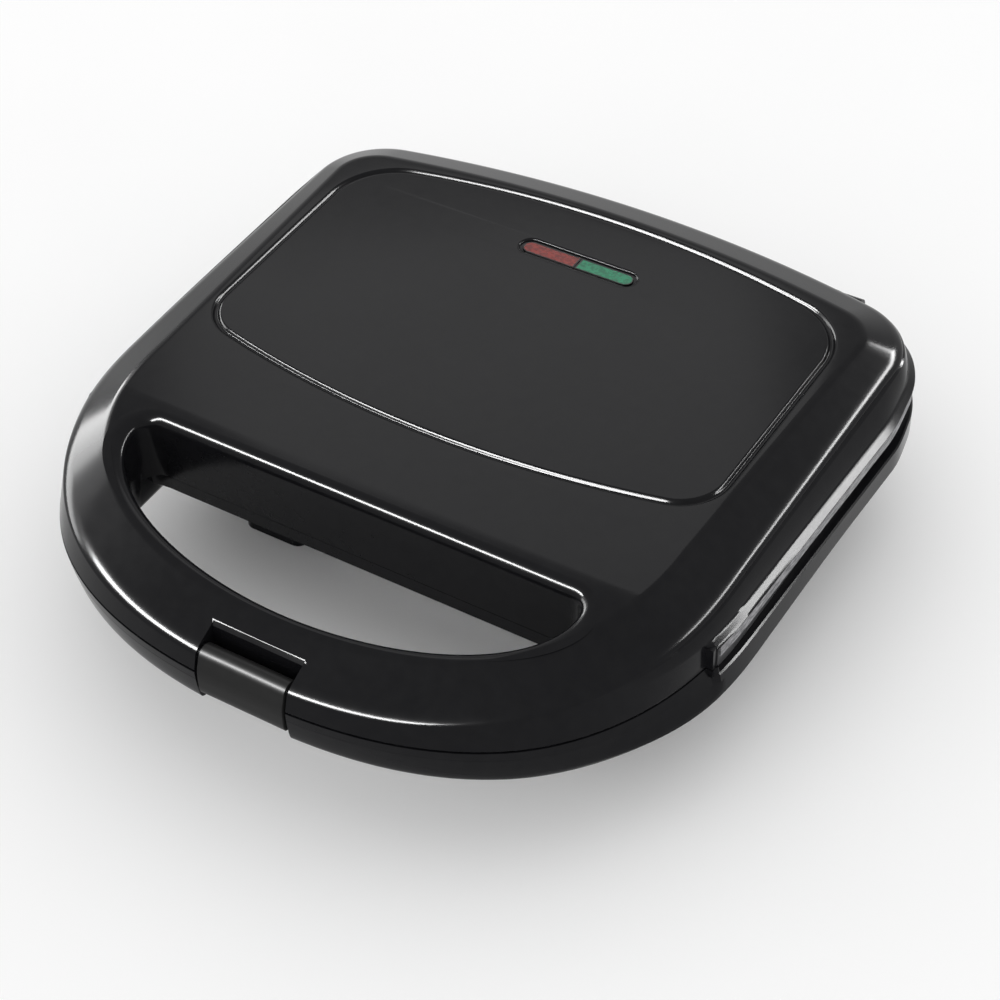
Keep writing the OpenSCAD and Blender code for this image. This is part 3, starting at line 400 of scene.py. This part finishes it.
def wall_row(z, reach, base=None):
    """Upper casing's wall at the height z, whose slope steepens into its lip; with a
    base the lower one's, whose lip stays wide for eight millimetres and begins softly
    along the handle."""
    if base is None:
        top = shoulder_height(shoulder_y)
        base = draft * (top - z)
        more = lip_edge(shoulder_y, base, reach) - base
        lip = np.minimum(more, LIP_EDGE)
        spread = np.clip((top - z) / (top - UPPER_LIP - 2.3), 0, 1)
        out = base + (more - lip) * spread * ease(shoulder_y, -78, -40)
        out += lip * flare(z - UPPER_LIP, *UPPER_FLARE) * ease(
            shoulder_y, GAP_START - 1, GAP_START - 0.2)
    else:
        begin = np.where(shoulder_y > GAP_START - 0.6, 1.0,
                         ease(shoulder_y, -104, -44) * np.clip((LOWER_FACE - z) / 9, 0, 1))
        more = lip_edge(shoulder_y, base, reach) - base
        out = base + more * flare(LOWER_LIP - z, *LOWER_FLARE) * begin
        out -= np.where(begin == 1.0, 0.5 * np.clip((z - 42.7) / 0.5, 0, 1), 0)
    return raised(shoulder + shoulder_out * out[:, None], z)


def opening_rim(half, rear, front, corner):
    """Closed rim of an opening, at the shares ALONG of the curved part's length and
    ACROSS of the straight rear. Anticlockwise from the front."""
    middle = rear - corner
    t = np.radians(np.linspace(90, 0, 700))
    curve = np.c_[half * np.cos(t) ** 1.03, middle + (front - middle) * np.sin(t) ** 1.03]
    t = np.radians(np.linspace(0, 90, 120))[1:]
    curve = np.vstack([curve, np.c_[half - corner + corner * np.cos(t),
                                    middle + corner * np.sin(t)]])
    curve[0, 0] = 0.0
    run = np.r_[0, np.cumsum(np.linalg.norm(np.diff(curve, axis=0), axis=1))]
    run /= run[-1]
    return mirrored(np.vstack([
        np.c_[np.interp(ALONG, run, curve[:, 0]), np.interp(ALONG, run, curve[:, 1])],
        np.c_[(half - corner) * (1 - ACROSS), np.full(len(ACROSS), rear)]]))


# the deck's edge, just inside the bevel, and the shares that pair it with the opening
edge_round = 0.8 + 0.7 * ease(bevel[:, 1], -100, -80)
deck_edge = grown(bevel, -edge_round)
turn_at = int(np.argmax(deck_edge[:, 1] >= FLAT_END))
run = np.r_[0, np.cumsum(np.linalg.norm(np.diff(deck_edge[:turn_at + 1], axis=0), axis=1))]
ALONG, ACROSS = run / run[-1], np.linspace(0, 1, 45)[1:]
corner_x, corner_y = deck_edge[turn_at]
deck_loop = mirrored(np.vstack([deck_edge[:turn_at + 1], np.c_[
    corner_x * (1 - ACROSS), np.full(len(ACROSS), corner_y)]]))
rim = opening_rim(OPEN_HALF, OPEN_REAR, OPEN_FRONT, OPEN_CORNER)
roll = opening_rim(86.4, -56.3, -104.5, 12.0)

# skin from the deck's edge down the bevel, shoulder and wall to the joint
lowest = shoulder_height(shoulder_y)
line = raised(bevel, deck_height(bevel[:, 1]))
crest = raised(shoulder, lowest)
slope = (crest - line) / np.linalg.norm(crest - line, axis=1)[:, None]
rows = bend(raised(deck_edge, deck_height(deck_edge[:, 1])), line,
            line + slope * edge_round[:, None], 6)
rows += straight(rows[-1], crest - slope * 4.0, 6)
rows += bend(crest - slope * 4.0, crest, raised(
    shoulder + shoulder_out * (draft * 1.5)[:, None], lowest - 1.5), 14)
for share in np.linspace(0, 1, 37)[1:]:
    rows.append(wall_row(lowest - 1.5 + (UPPER_FACE + 0.5 - lowest + 1.5) * share,
                         UPPER_REACH))
wall_end = rows[-1][:, :2]
rows.append(raised(wall_end - shoulder_out * 0.15, UPPER_FACE + 0.15))
rows.append(raised(wall_end - shoulder_out * 0.5, UPPER_FACE))
skin = strips(rows)
joint_ring = rows[-1]

# the opening's rolled rim, a quarter ellipse from the deck down to the wall
roll_z = deck_height(roll[:, 1])
rim_rows = []
for t in np.radians(np.linspace(90, 0, 15)):
    place = rim + (roll - rim) * (1 - math.cos(t))
    rim_rows.append(raised(place, roll_z - 4.3 * (1 - math.sin(t))))
rim_rows += straight(rim_rows[-1], raised(rim, UPPER_FACE), 5)
rim_rows.append(raised(rim, UPPER_FACE))

# the deck between rim and edge, the flat top, the groove and the sunk lamp window
deck_rows = []
for share in np.linspace(0, 1, 12):
    place = roll + (deck_loop - roll) * share
    deck_rows.append(raised(place, deck_height(place[:, 1])))
panel = np.vstack([rear_end(93.0, 24.8, 350, 17)[::-1] * (1, -1),
                   rear_end(93.6, 97.7, 330, 24)])
panel[[0, -1], 0] = 0.0
panel = mirrored(panel)
# the groove's section, as distance out from its middle line and depth
GROOVE_SIDE = ((1.8, 0), (1.45, 0.05), (1.2, 0.22), (0.85, 0.63), (0.6, 0.98), (0.4, 1.12))
GROOVE = (*GROOVE_SIDE, (0, 1.17), *((-out, deep) for out, deep in GROOVE_SIDE[::-1]))
groove_rows = [raised(grown(panel, out), TOP - deep) for out, deep in GROOVE]


def obround(grow):
    """Outline of the lamp window, moved out by grow."""
    t = np.radians(np.linspace(-90, 90, 25))
    cap = np.c_[WINDOW_X + (WINDOW_R + grow) * np.cos(t),
                WINDOW_Y + (WINDOW_R + grow) * np.sin(t)]
    return np.vstack([cap, cap[::-1] * (-1, 1)])


WINDOW = ((1.7, 0), (1.25, 0.05), (1.0, 0.2), (0.82, 0.41), (0.7, 0.84), (0.5, 0.9),
          (-0.3, 0.93), (-0.4, 1.1), (-0.4, 6))
window_rows = [raised(obround(out), TOP - deep) for out, deep in WINDOW]
flat_edge = raised(np.vstack([
    deck_edge[turn_at:len(deck_edge) - turn_at + 1],
    np.c_[-corner_x * (1 - ACROSS), np.full(len(ACROSS), corner_y)],
    np.c_[corner_x * ACROSS[:-1], np.full(len(ACROSS) - 1, corner_y)]]), TOP)
upper = piece("upper_casing", [
    skin, strips(rim_rows), strips(deck_rows), strips(groove_rows), strips(window_rows),
    filled(flat_edge, groove_rows[0]), filled(groove_rows[-1], window_rows[0]),
    filled(window_rows[-1]), filled(joint_ring, rim_rows[-1])])


def body_row(front, out, z):
    """Ring round the body behind the handle, out from the shoulder line."""
    return raised(outline(HALF + out, front, front + 40, 5, REAR + out, 418,
                          max(9, 26 + out)), z)


def capped(name, rows, profile):
    """A closed solid through rows along X that have the points of a (y, z) profile."""
    cap = filled(profile)[1]
    return piece(name, [strips(rows), (rows[0], cap), (rows[-1], cap)])


def extruded(name, profile, low, high):
    """A prism along X through a profile of (y, z) points."""
    profile = np.array(profile, float)
    return capped(name, [np.c_[np.full(len(profile), x), profile] for x in (low, high)],
                  profile)


def rod(name, centre, radius, low, high, axis=2, count=64):
    """A round bar along an axis, from low to high on it; centre has the other two."""
    t = np.linspace(0, 2 * math.pi, count, endpoint=False)
    rows = []
    for place in (low, high):
        row = np.c_[centre[0] + radius * np.cos(t), centre[1] + radius * np.sin(t)]
        rows.append(np.insert(row, axis, place, axis=1))
    centres = [row.mean(axis=0) for row in rows]
    fan = [[i, (i + 1) % count, count] for i in range(count)]
    return piece(name, [strips(rows)] + [
        (np.vstack([row, middle]), fan) for row, middle in zip(rows, centres)])


def hinge_arms(name, x, width, profile, bore):
    """Two arms at the hinge offset, x to each side of it, with knuckle and pin bore."""
    arms = []
    for side in (-1, 1):
        for place in {side * HINGE_X - x, side * HINGE_X + x}:
            low, high = place - width / 2, place + width / 2
            arm = extruded(name, np.array(profile) + (HINGE_Y, HINGE_Z), low, high)
            carve(arm, [rod(name, (HINGE_Y, HINGE_Z), KNUCKLE, low, high, axis=0)], "UNION")
            arms.append(carve(arm, [rod(name, (HINGE_Y, HINGE_Z), bore, low - 1, high + 1,
                                        axis=0)]))
    return arms


BODY_FRONT = OPEN_REAR + WALL
TONGUE_HALF, TONGUE_LOW = 56.0, 49.4
# how far the front edge lies behind BODY_FRONT, distance out and height of each row
CAVITY = ((0, 0.9, 43), (0, -0.4, 56.5), (0, -1.4, 58.9), (0, -3.2, 60.4), (1, -8, 63.6),
          (3, -17, TOP - WALL))
cavity = loft("cavity", [body_row(BODY_FRONT + back, out, z) for back, out, z in CAVITY])
gap = block("gap", (-150, GAP_START, 41), (150, 160, UPPER_LIP))
carve(gap, [block("tongue", (-TONGUE_HALF, REAR - 10, TONGUE_LOW), (TONGUE_HALF, 170, 60))])


def channel(low, high):
    """Hollow of the handle between its outer wall, the opening and the cross ribs."""
    hollow = prism("channel", grown(shoulder, -5.5), low, high)
    tools = [prism("rim", grown(rim, 3.4), low - 1, high + 1),
             block("rear", (-150, OPEN_REAR - 8, low - 1), (150, 240, high + 1)),
             block("middle", (-NOTCH_HALF - 3, -150, low - 1), (NOTCH_HALF + 3, -90, high + 1))]
    for angle in (-60, -36, 36, 60):
        way = np.array([math.sin(math.radians(angle)), -math.cos(math.radians(angle))])
        edge = np.array([-way[1], way[0]])
        start = np.array([0.0, OPEN_REAR])
        loop = np.array([start - edge, start + way * 140 - edge, start + way * 140 + edge,
                         start + edge])
        tools.append(prism("rib", loop, low - 1, high + 1))
    return carve(hollow, tools)


notch = block("notch", (-NOTCH_HALF, -150, 43.5), (NOTCH_HALF, NOTCH_REAR, 90))
notch_edge = extruded("notch_edge", [(-114.4, 54.43), (-111.4, 57.94), (-114.4, 57.94)],
                      -NOTCH_HALF, NOTCH_HALF)
carve(upper, [cavity, gap, channel(UPPER_FACE - 1, TOP - 20.5), notch, notch_edge])


def side_ribs(rear, low, high):
    """The two ribs that close the gap between the lips at its front end."""
    return [block("rib", (min(s * RIB_IN, s * RIB_OUT), GAP_START - RIB_DEPTH, low),
                  (max(s * RIB_IN, s * RIB_OUT), rear, high)) for s in (-1, 1)]


def screw_posts(low, high):
    """The four columns that the plate's screws are driven into."""
    return [rod("post", place, POST, low, high, count=32) for place in SCREWS]


carve(upper, side_ribs(GAP_START + 0.5, UPPER_FACE + 0.1, UPPER_LIP + RIB_SEAT)
      + screw_posts(50.65, 62.5), "UNION")
UPPER_ARM = ((-4.4, 0), (-4.4, 5.6), (-11, 5.6), (-11, 12), (-7, 12), (1.6, 4), (0, 0))
carve(upper, hinge_arms("arm", 0, 14, UPPER_ARM, PIN + 0.04), "UNION")
carve(upper, [rod("pin_seat", PIVOT, PIVOT_BORE, -25, 25, axis=0, count=32)])
smooth(upper)


def grain(start, strength):
    """Fine leather-like moulding grain and a slow unevenness of the polish."""
    fine = noise(start, 900.0, detail=1.0)
    slow = noise(start, 30.0, detail=2.0)
    return bump(start, fine * 0.7 + slow * 0.3, strength), slow


def gloss_black(start):
    rough = noise(start, 220.0, detail=3.0)
    smear = noise(start, 14.0, detail=2.0).step(0.3, 0.75)
    shade, slow = grain(start, 0.0000015)
    return {"Base Color": rough.mix((0.005, 0.005, 0.006, 1), (0.009, 0.009, 0.010, 1)),
            "Roughness": 0.12 + rough * 0.03 + smear * 0.04, "Normal": shade}


casing_black = finish("casing_black", gloss_black, Specular_IOR_Level=0.08)
finished(upper, casing_black, "lid", "black_casing", "upper_housing")

# ---- lower casing --------------------------------------------------------------------
# The base's black moulding: the lower half of the handle, side walls with a flared
# lip under the plates' edge, and a body that tapers to the floor with four feet.
HANDLE_LOW = 32.2


def through(points, count):
    """Values on a smooth curve through (height, value, ...) rows, count per stretch."""
    points = np.array(points, float)
    ends = np.vstack([2 * points[0] - points[1], points, 2 * points[-1] - points[-2]])
    out = [points[:1]]
    for a, b, c, d in zip(ends, ends[1:], ends[2:], ends[3:]):
        t = np.linspace(0, 1, count + 1)[1:, None]
        out.append(0.5 * (2 * b + (c - a) * t + (2 * a - 5 * b + 4 * c - d) * t ** 2
                          + (3 * b - a - 3 * c + d) * t ** 3))
    return np.vstack(out)


def body_front(z):
    """The body's front wall leans back below the handle."""
    return OPEN_REAR + 0.93 * max(0.0, 40.5 - z)


# height and distance out from the shoulder line of the body's rows, then height and
# distance in from it at the handle and at the body
BODY_SIDE = ((6.5, -13), (8, -9.8), (12, -6.5), (20, -1.9), (27, 1.6), (32.2, 2.6))
HANDLE_SIDE = ((32.4, 3.6, 1.2), (32.8, 2.4, 1.12), (33.6, 1.5, 1.0), (35.2, 0.9, 0.87),
               (38, 0.45, 0.7), (41.8, 0.1, 0.35), (42.7, 0.08, 0.26),
               (43.2, 0.06, 0.2), (LOWER_FACE, 0, 0))
top_draft = draft * (shoulder_height(shoulder_y) - UPPER_FACE)
on_body = np.clip((shoulder_y + 64) / 14, 0, 1)
rows = [body_row(body_front(z), out, z) for z, out in through(BODY_SIDE, 6)]
for z, at_handle, at_body in through(HANDLE_SIDE, 5):
    inward = at_handle * (1 - on_body) + at_body * on_body
    rows.append(wall_row(z, LOWER_REACH, base=top_draft - inward)
                + np.c_[(LOWER_FACE - z) * 0.16 * (1 - ease(shoulder_y, -60, 40)),
                        np.zeros((len(shoulder), 2))])
lower = piece("lower_casing", [strips(rows), filled(rows[0]), filled(rows[-1])])


def sloped(loop, z):
    """A loop of the opening whose rear edge leans back with the body's front wall."""
    loop = loop.copy()
    rear = loop[:, 1] > OPEN_REAR - 6
    lean = body_front(z) + (loop[:, 1] - OPEN_REAR) * 0.2
    loop[rear, 1] = np.maximum(loop[rear, 1], lean[rear])
    return loop


low_rim = opening_rim(OPEN_HALF + 0.2, OPEN_REAR + 0.1, OPEN_FRONT - 0.1, OPEN_CORNER)
RIM = ((31.6, 4.1), (32.3, 3.2), (33.1, 2.4), (34.4, 1.4), (36.2, 0.6), (40.5, 0), (47.5, 0))
opening = loft("opening", [raised(sloped(grown(low_rim, out), z), z) for z, out in RIM])
# height, distance out and the front wall's thickness of each row inside the body
INSIDE = ((9.1, -15, WALL + 1.0), (12, -9.4, WALL), (20, -4.4, WALL), (28, 0, WALL),
          (33.5, 1.2, WALL))
inside = loft("inside", [body_row(body_front(z) + wall, out, z) for z, out, wall in INSIDE]
              + [body_row(BODY_FRONT, 1.9, 47.5)])
low_gap = block("low_gap", (-150, GAP_START, LOWER_LIP), (150, 160, 49))
carve(low_gap, [block("low_tongue", (-TONGUE_HALF, REAR - 10, 40), (TONGUE_HALF, 170, 46))])
carve(lower, [opening, inside, low_gap, channel(HANDLE_LOW + 3, LOWER_FACE + 1),
              block("notch", (-NOTCH_HALF, -150, 30), (NOTCH_HALF, -107, 60))])
slots = [block("slot", (i * 9 - 1.5, 20, 5), (i * 9 + 1.5, 54, 10.1)) for i in range(-4, 5)]
carve(lower, slots)
FEET = [(x, y) for x in (-59.5, 59.5) for y in (-18.5, 82)]
t = np.radians(np.arange(0, 360, 10) + 5)
foot_square = 8.0 * np.sign(np.c_[np.cos(t), np.sin(t)]) + 4.2 * np.c_[np.cos(t), np.sin(t)]
feet = [prism("foot", foot_square + place, 0.4, 7.5) for place in FEET]
GLAND = (-40, 24)
fixings = side_ribs(GAP_START + 1, LOWER_LIP - RIB_SEAT, LOWER_FACE - 0.1) + feet
fixings += screw_posts(24, LOWER_FACE) + [rod("gland_seat", GLAND, 8.6, 109.4, 118.4, axis=1)]
LOWER_ARM = ((-4.4, 0), (0, -4.4), (-4, -15), (-10.5, -19), (-10.5, -5.4), (-4.9, -5.4))
carve(lower, fixings + hinge_arms("ear", 9.9, 5, LOWER_ARM, PIN), "UNION")
carve(lower, [rod("pad", place, 8.6, -1.0, 3.9) for place in FEET]
      + [rod("gland_hole", GLAND, 5.2, 97, 137, axis=1),
         rod("gland_face", GLAND, 7.8, 118.4, 128.4, axis=1)])
smooth(lower)
finished(lower, casing_black, "base", "black_casing", "lower_housing")

# ---- latch and catch -----------------------------------------------------------------
# The latch lever turns on a steel pin in the lid's notch and hooks under the rib of
# the catch block in the lower handle. Both are satin black mouldings with soft edges.


def dressed(material, *names):
    """Gives CAD nodes a material in place of their plain one."""
    for name in names:
        for place in nodes[name].material_slots:
            place.link = "OBJECT"
            place.material = material


def softened(name):
    """Rounds the sharp edges of a CAD node by 0.4 mm and shades it smooth."""
    edges = nodes[name].modifiers.new("soft_edges", "BEVEL")
    edges.width, edges.segments = 0.0004, 3
    edges.limit_method, edges.angle_limit = "ANGLE", math.radians(35.0)
    edges.harden_normals = True


t = np.radians(np.linspace(-20, 160, 25))
crown = PIVOT + BOSS * np.c_[np.cos(t), np.sin(t)]
LEVER = np.vstack([
    crown, [[-123.2, 48.9], [-123.75, 47.6], [-124.1, 46.0], [-124.3, 44.3], [-124.35, 43.0],
            [-124.35, 40.6], [-124.28, 39.2], [-124.0, 37.9], [-123.5, 36.95],
            [-122.8, 36.45], [-122.2, 36.4], [-121.6, 36.7], [-121.45, 37.3],
            [-121.45, 38.2], [-121.95, 39.0], [-121.95, 45.3], [-121.6, 46.4],
            [-120.6, 46.9], [-118.2, 46.2]]])


def rounded_bar(name, profile, half, edge, count=4):
    """A bar along X through a (y, z) profile, whose ends are rounded by edge."""
    middle = profile.mean(axis=0)
    reach = np.linalg.norm(profile - middle, axis=1).min()
    t = np.radians(np.linspace(0, 90, count + 1))
    stations = [(-half + edge * (1 - math.sin(a)), 1 - edge * (1 - math.cos(a)) / reach)
                for a in t[::-1]]
    stations = stations + [(-x, share) for x, share in stations[::-1]]
    rows = [np.c_[np.full(len(profile), x), middle + (profile - middle) * share]
            for x, share in stations]
    return capped(name, rows, profile)


lever = rounded_bar("latch_lever", LEVER, LATCH_HALF, 0.45)
carve(lever, [rod("pin_bore", PIVOT, PIVOT_BORE + 0.03, -17, 17, axis=0, count=32)])
smooth(lever, 40.0)


def latch_black(start):
    rough = noise(start, 260.0, detail=2.0)
    shade, slow = grain(start, 0.0000015)
    return {"Base Color": slow.mix((0.009, 0.009, 0.009, 1), (0.014, 0.014, 0.014, 1)),
            "Roughness": 0.3 + rough * 0.08, "Normal": shade}


moulded_black = finish("moulded_black", latch_black, Specular_IOR_Level=0.09)
finished(lever, moulded_black, "latch", "black_latch", "latch")
dressed(moulded_black, "latch_catch")
softened("latch_catch")

# ---- lamp lenses, lamps and their bracket --------------------------------------------
# Two tinted lenses, red and green, lie in the top's window with a hair gap between
# them. Small neon lamps sit in a white bracket screwed up behind them.


def tinted(colour, deep):
    """Material builder of a tinted lens: fine cells in two depths of colour, with painted
    shade, near black, along the window's rim and in the gap between the lenses."""
    def build(start):
        place = start.node("TexCoord", out="Object")
        x, y = (start.node("SeparateXYZ", None, {0: place}, out=axis) * 1000.0
                for axis in (0, 1))
        along = start.math("ABSOLUTE", x)
        past = start.math("MAXIMUM", along - WINDOW_X, 0.0)
        # painted shade: the lens darkens to near black towards the window's rim and along the
        # gap between the lenses
        painted_rim_and_gap_shade = (past * past + (y - WINDOW_Y) * (y - WINDOW_Y)).step(4.4, 6.8)
        painted_rim_and_gap_shade = start.math("MAXIMUM", painted_rim_and_gap_shade, along.step(1.0, 0.5))
        cells = noise(start, 900.0, detail=2.0).step(0.35, 0.65)
        dark = painted_rim_and_gap_shade.mix((0, 0, 0, 1), (1, 1, 1, 1))
        # the near-black colour here is the painted shade of the rim and the gap
        return {"Base Color": dark.mix(cells.mix(deep, colour), (0.008, 0.008, 0.008, 1)),
                "Roughness": 0.12 + noise(start, 700.0) * 0.1,
                "Normal": bump(start, noise(start, 500.0), 0.00001)}
    return build


for name, colour, deep in (("red_lens", (0.30, 0.026, 0.018, 1), (0.16, 0.014, 0.010, 1)),
                           ("green_lens", (0.010, 0.27, 0.13, 1), (0.008, 0.16, 0.08, 1))):
    lens_finish = finish(name + "_finish", tinted(colour, deep), Transmission_Weight=0.3,
                         IOR=1.45, Specular_IOR_Level=0.12)
    dressed(lens_finish, name)
    softened(name)


# painted glow: the neon glass gets a warm white colour as if the lamps were lit, in patches
# that vary at random
def painted_lamp_glow(start):
    glow_patches = noise(start, 400.0).step(0.2, 0.8)
    return {"Base Color": glow_patches.mix((0.95, 0.75, 0.6, 1), (0.98, 0.85, 0.75, 1))}


dressed(finish("neon_glass_painted_glow", painted_lamp_glow, Transmission_Weight=0.5, Roughness=0.08),
        "neon_lamps")


def off_white(start):
    speck = noise(start, 320.0, detail=4.0)
    return {"Base Color": speck.step(0.35, 0.65).mix((0.72, 0.69, 0.62, 1),
                                                     (0.79, 0.76, 0.70, 1)),
            "Roughness": 0.5 + speck * 0.2, "Normal": bump(start, speck, 0.00004)}


dressed(finish("off_white_moulding", off_white), "lamp_bracket", "thermostat",
        "terminal_block")

# ---- plates --------------------------------------------------------------------------
# Die-cast aluminium plates. The cooking side and its pockets carry a dark non-stick
# coat, and the skirt that shows between the lips is bare, blasted metal.


def cast_plate(up):
    """Material builder of a plate whose cooking side looks down (up 1) or up (-1). Only
    faces that look that way, short of the back's height, are coated."""
    back, facing_limits = (11.2, 12.2), (0.12, 0.4) if up == 1 else (-0.6, -0.4)

    def build(start):
        facing = start.node("SeparateXYZ", None, {
            0: start.node("TexCoord", out="Normal")}, out=2)
        height = start.node("SeparateXYZ", None, {
            0: start.node("TexCoord", out="Object")}, out=2)
        inner = ((height - PLATE_PLANE * MM) * float(up) * 1000.0).step(*back)
        coat = (facing * float(-up)).step(*facing_limits) * (1.0 - inner)
        blast = noise(start, 1500.0, detail=3.0)
        cloud = noise(start, 40.0, detail=2.0)
        bare = (blast * 0.5 + cloud * 0.5).mix((0.13, 0.13, 0.135, 1), (0.24, 0.24, 0.25, 1))
        dark = cloud.mix((0.030, 0.030, 0.032, 1), (0.045, 0.045, 0.048, 1))
        return {"Base Color": coat.mix(bare, dark), "Metallic": (1.0 - coat) * 0.3,
                "Roughness": coat.mix((0.55, 0.55, 0.55, 1), (0.38, 0.38, 0.38, 1))
                + blast * 0.1,
                "Normal": bump(start, blast, 0.00003)}
    return build


for name, up_down in (("upper_plate", 1), ("lower_plate", -1)):
    dressed(finish(name + "_cast", cast_plate(up_down)), name)


def ground_edge(start):
    place = start.node("Mapping", {"vector_type": "POINT"}, {
        "Vector": start.node("TexCoord", out="Object"), "Scale": (1.0, 1.0, 5.0),
        "Rotation": (0.5, 0, 0)})
    lines = noise(start, 260.0, detail=4.0, roughness=0.7, place=place)
    return {"Base Color": lines.step(0.38, 0.66).mix((0.085, 0.085, 0.09, 1),
                                                    (0.30, 0.30, 0.31, 1)),
            "Roughness": 0.5 + lines * 0.2, "Normal": bump(start, lines, 0.00004)}


# the upper plate's skirt, brought out to the lip's edge on both sides
ground_metal = finish("ground_edge", ground_edge, Metallic=0.25)
SKIRT_LOW, SKIRT_HIGH, SKIRT_DEPTH = 48.2, 52.6, 4
inset = lip_edge(shoulder_y, 0.0, UPPER_REACH) - 0.35
for side, name in ((1, "right_skirt"), (-1, "left_skirt")):
    along = (shoulder_y > GAP_START + 0.9) & (shoulder_y < 88) & (shoulder[:, 0] * side > 0)
    edge = grown(shoulder, inset)[along]
    inner = grown(shoulder, inset - SKIRT_DEPTH)[along]
    rows = np.stack([raised(edge, SKIRT_LOW), raised(edge, SKIRT_HIGH),
                     raised(inner, SKIRT_HIGH), raised(inner, SKIRT_LOW)], axis=1)
    end = [[0, 1, 2, 3]]
    skirt = piece(name, [strips(rows), (rows[0], end), (rows[-1], end)])
    smooth(skirt)
    skirt.data.materials.append(ground_metal)
    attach(skirt, "lid")

# ---- heaters, reflectors, screws and pins --------------------------------------------
# Tubular elements in an oxidised steel sheath, bright pressed trays behind them, and
# zinc-plated screws and pins.


def oxidised(start):
    bands = noise(start, 90.0, detail=4.0)
    return {"Base Color": bands.step(0.3, 0.7).mix((0.13, 0.12, 0.11, 1),
                                                   (0.22, 0.20, 0.18, 1)),
            "Roughness": 0.42 + bands * 0.2, "Normal": bump(start, bands, 0.00004)}


def bright_sheet(start):
    place = start.node("Mapping", {"vector_type": "POINT"}, {
        "Vector": start.node("TexCoord", out="Object"), "Scale": (1.0, 40.0, 40.0)})
    lines = noise(start, 60.0, detail=3.0, place=place)
    return {"Base Color": lines.mix((0.62, 0.63, 0.64, 1), (0.74, 0.75, 0.76, 1)),
            "Roughness": 0.18 + lines * 0.14, "Normal": bump(start, lines, 0.00001)}


def zinc(start):
    blotch = noise(start, 380.0, detail=3.0)
    return {"Base Color": blotch.mix((0.56, 0.57, 0.59, 1), (0.68, 0.69, 0.70, 1)),
            "Roughness": 0.24 + blotch * 0.14, "Normal": bump(start, blotch, 0.00001)}


dressed(finish("heater_sheath", oxidised, Metallic=0.9), "upper_heater", "lower_heater")
dressed(finish("bright_tray", bright_sheet, Metallic=1.0), "upper_reflector",
        "lower_reflector")
dressed(finish("zinc_plate", zinc, Metallic=1.0), "upper_plate_screws",
        "lower_plate_screws", "upper_reflector_screws", "lower_reflector_screws",
        "latch_pin", "hinge_pins", "lamp_screws")

# ---- wiring, fuse, feet and cord gland -----------------------------------------------
# Glass-fibre sleeves on the wires, a brass-coloured fuse case, and soft black rubber
# for the foot pads and the gland that the mains cord leaves through.


def woven(start):
    place = start.node("TexCoord", out="Object")
    weave = start.node("TexVoronoi", None, {"Vector": place, "Scale": 1600.0})
    return {"Base Color": noise(start, 130.0).mix((0.56, 0.53, 0.47, 1),
                                                  (0.68, 0.65, 0.59, 1)),
            "Roughness": 0.78 + weave * 0.1, "Normal": bump(start, weave, 0.00006)}


def fuse_metal(start):
    blotch = noise(start, 300.0, detail=3.0)
    return {"Base Color": blotch.mix((0.60, 0.44, 0.18, 1), (0.72, 0.56, 0.26, 1)),
            "Roughness": 0.28 + blotch * 0.16}


def soft_rubber(start):
    dust = noise(start, 600.0, detail=3.0)
    return {"Base Color": dust.mix((0.016, 0.016, 0.016, 1), (0.028, 0.028, 0.028, 1)),
            "Roughness": 0.62 + dust * 0.15, "Normal": bump(start, dust, 0.00005)}


dressed(finish("glass_sleeve", woven), "upper_wires", "lower_wires")
dressed(finish("fuse_case", fuse_metal, Metallic=1.0), "thermal_fuse")
dressed(finish("soft_rubber", soft_rubber, Specular_IOR_Level=0.3), "rubber_feet",
        "cord_gland")
softened("cord_gland")
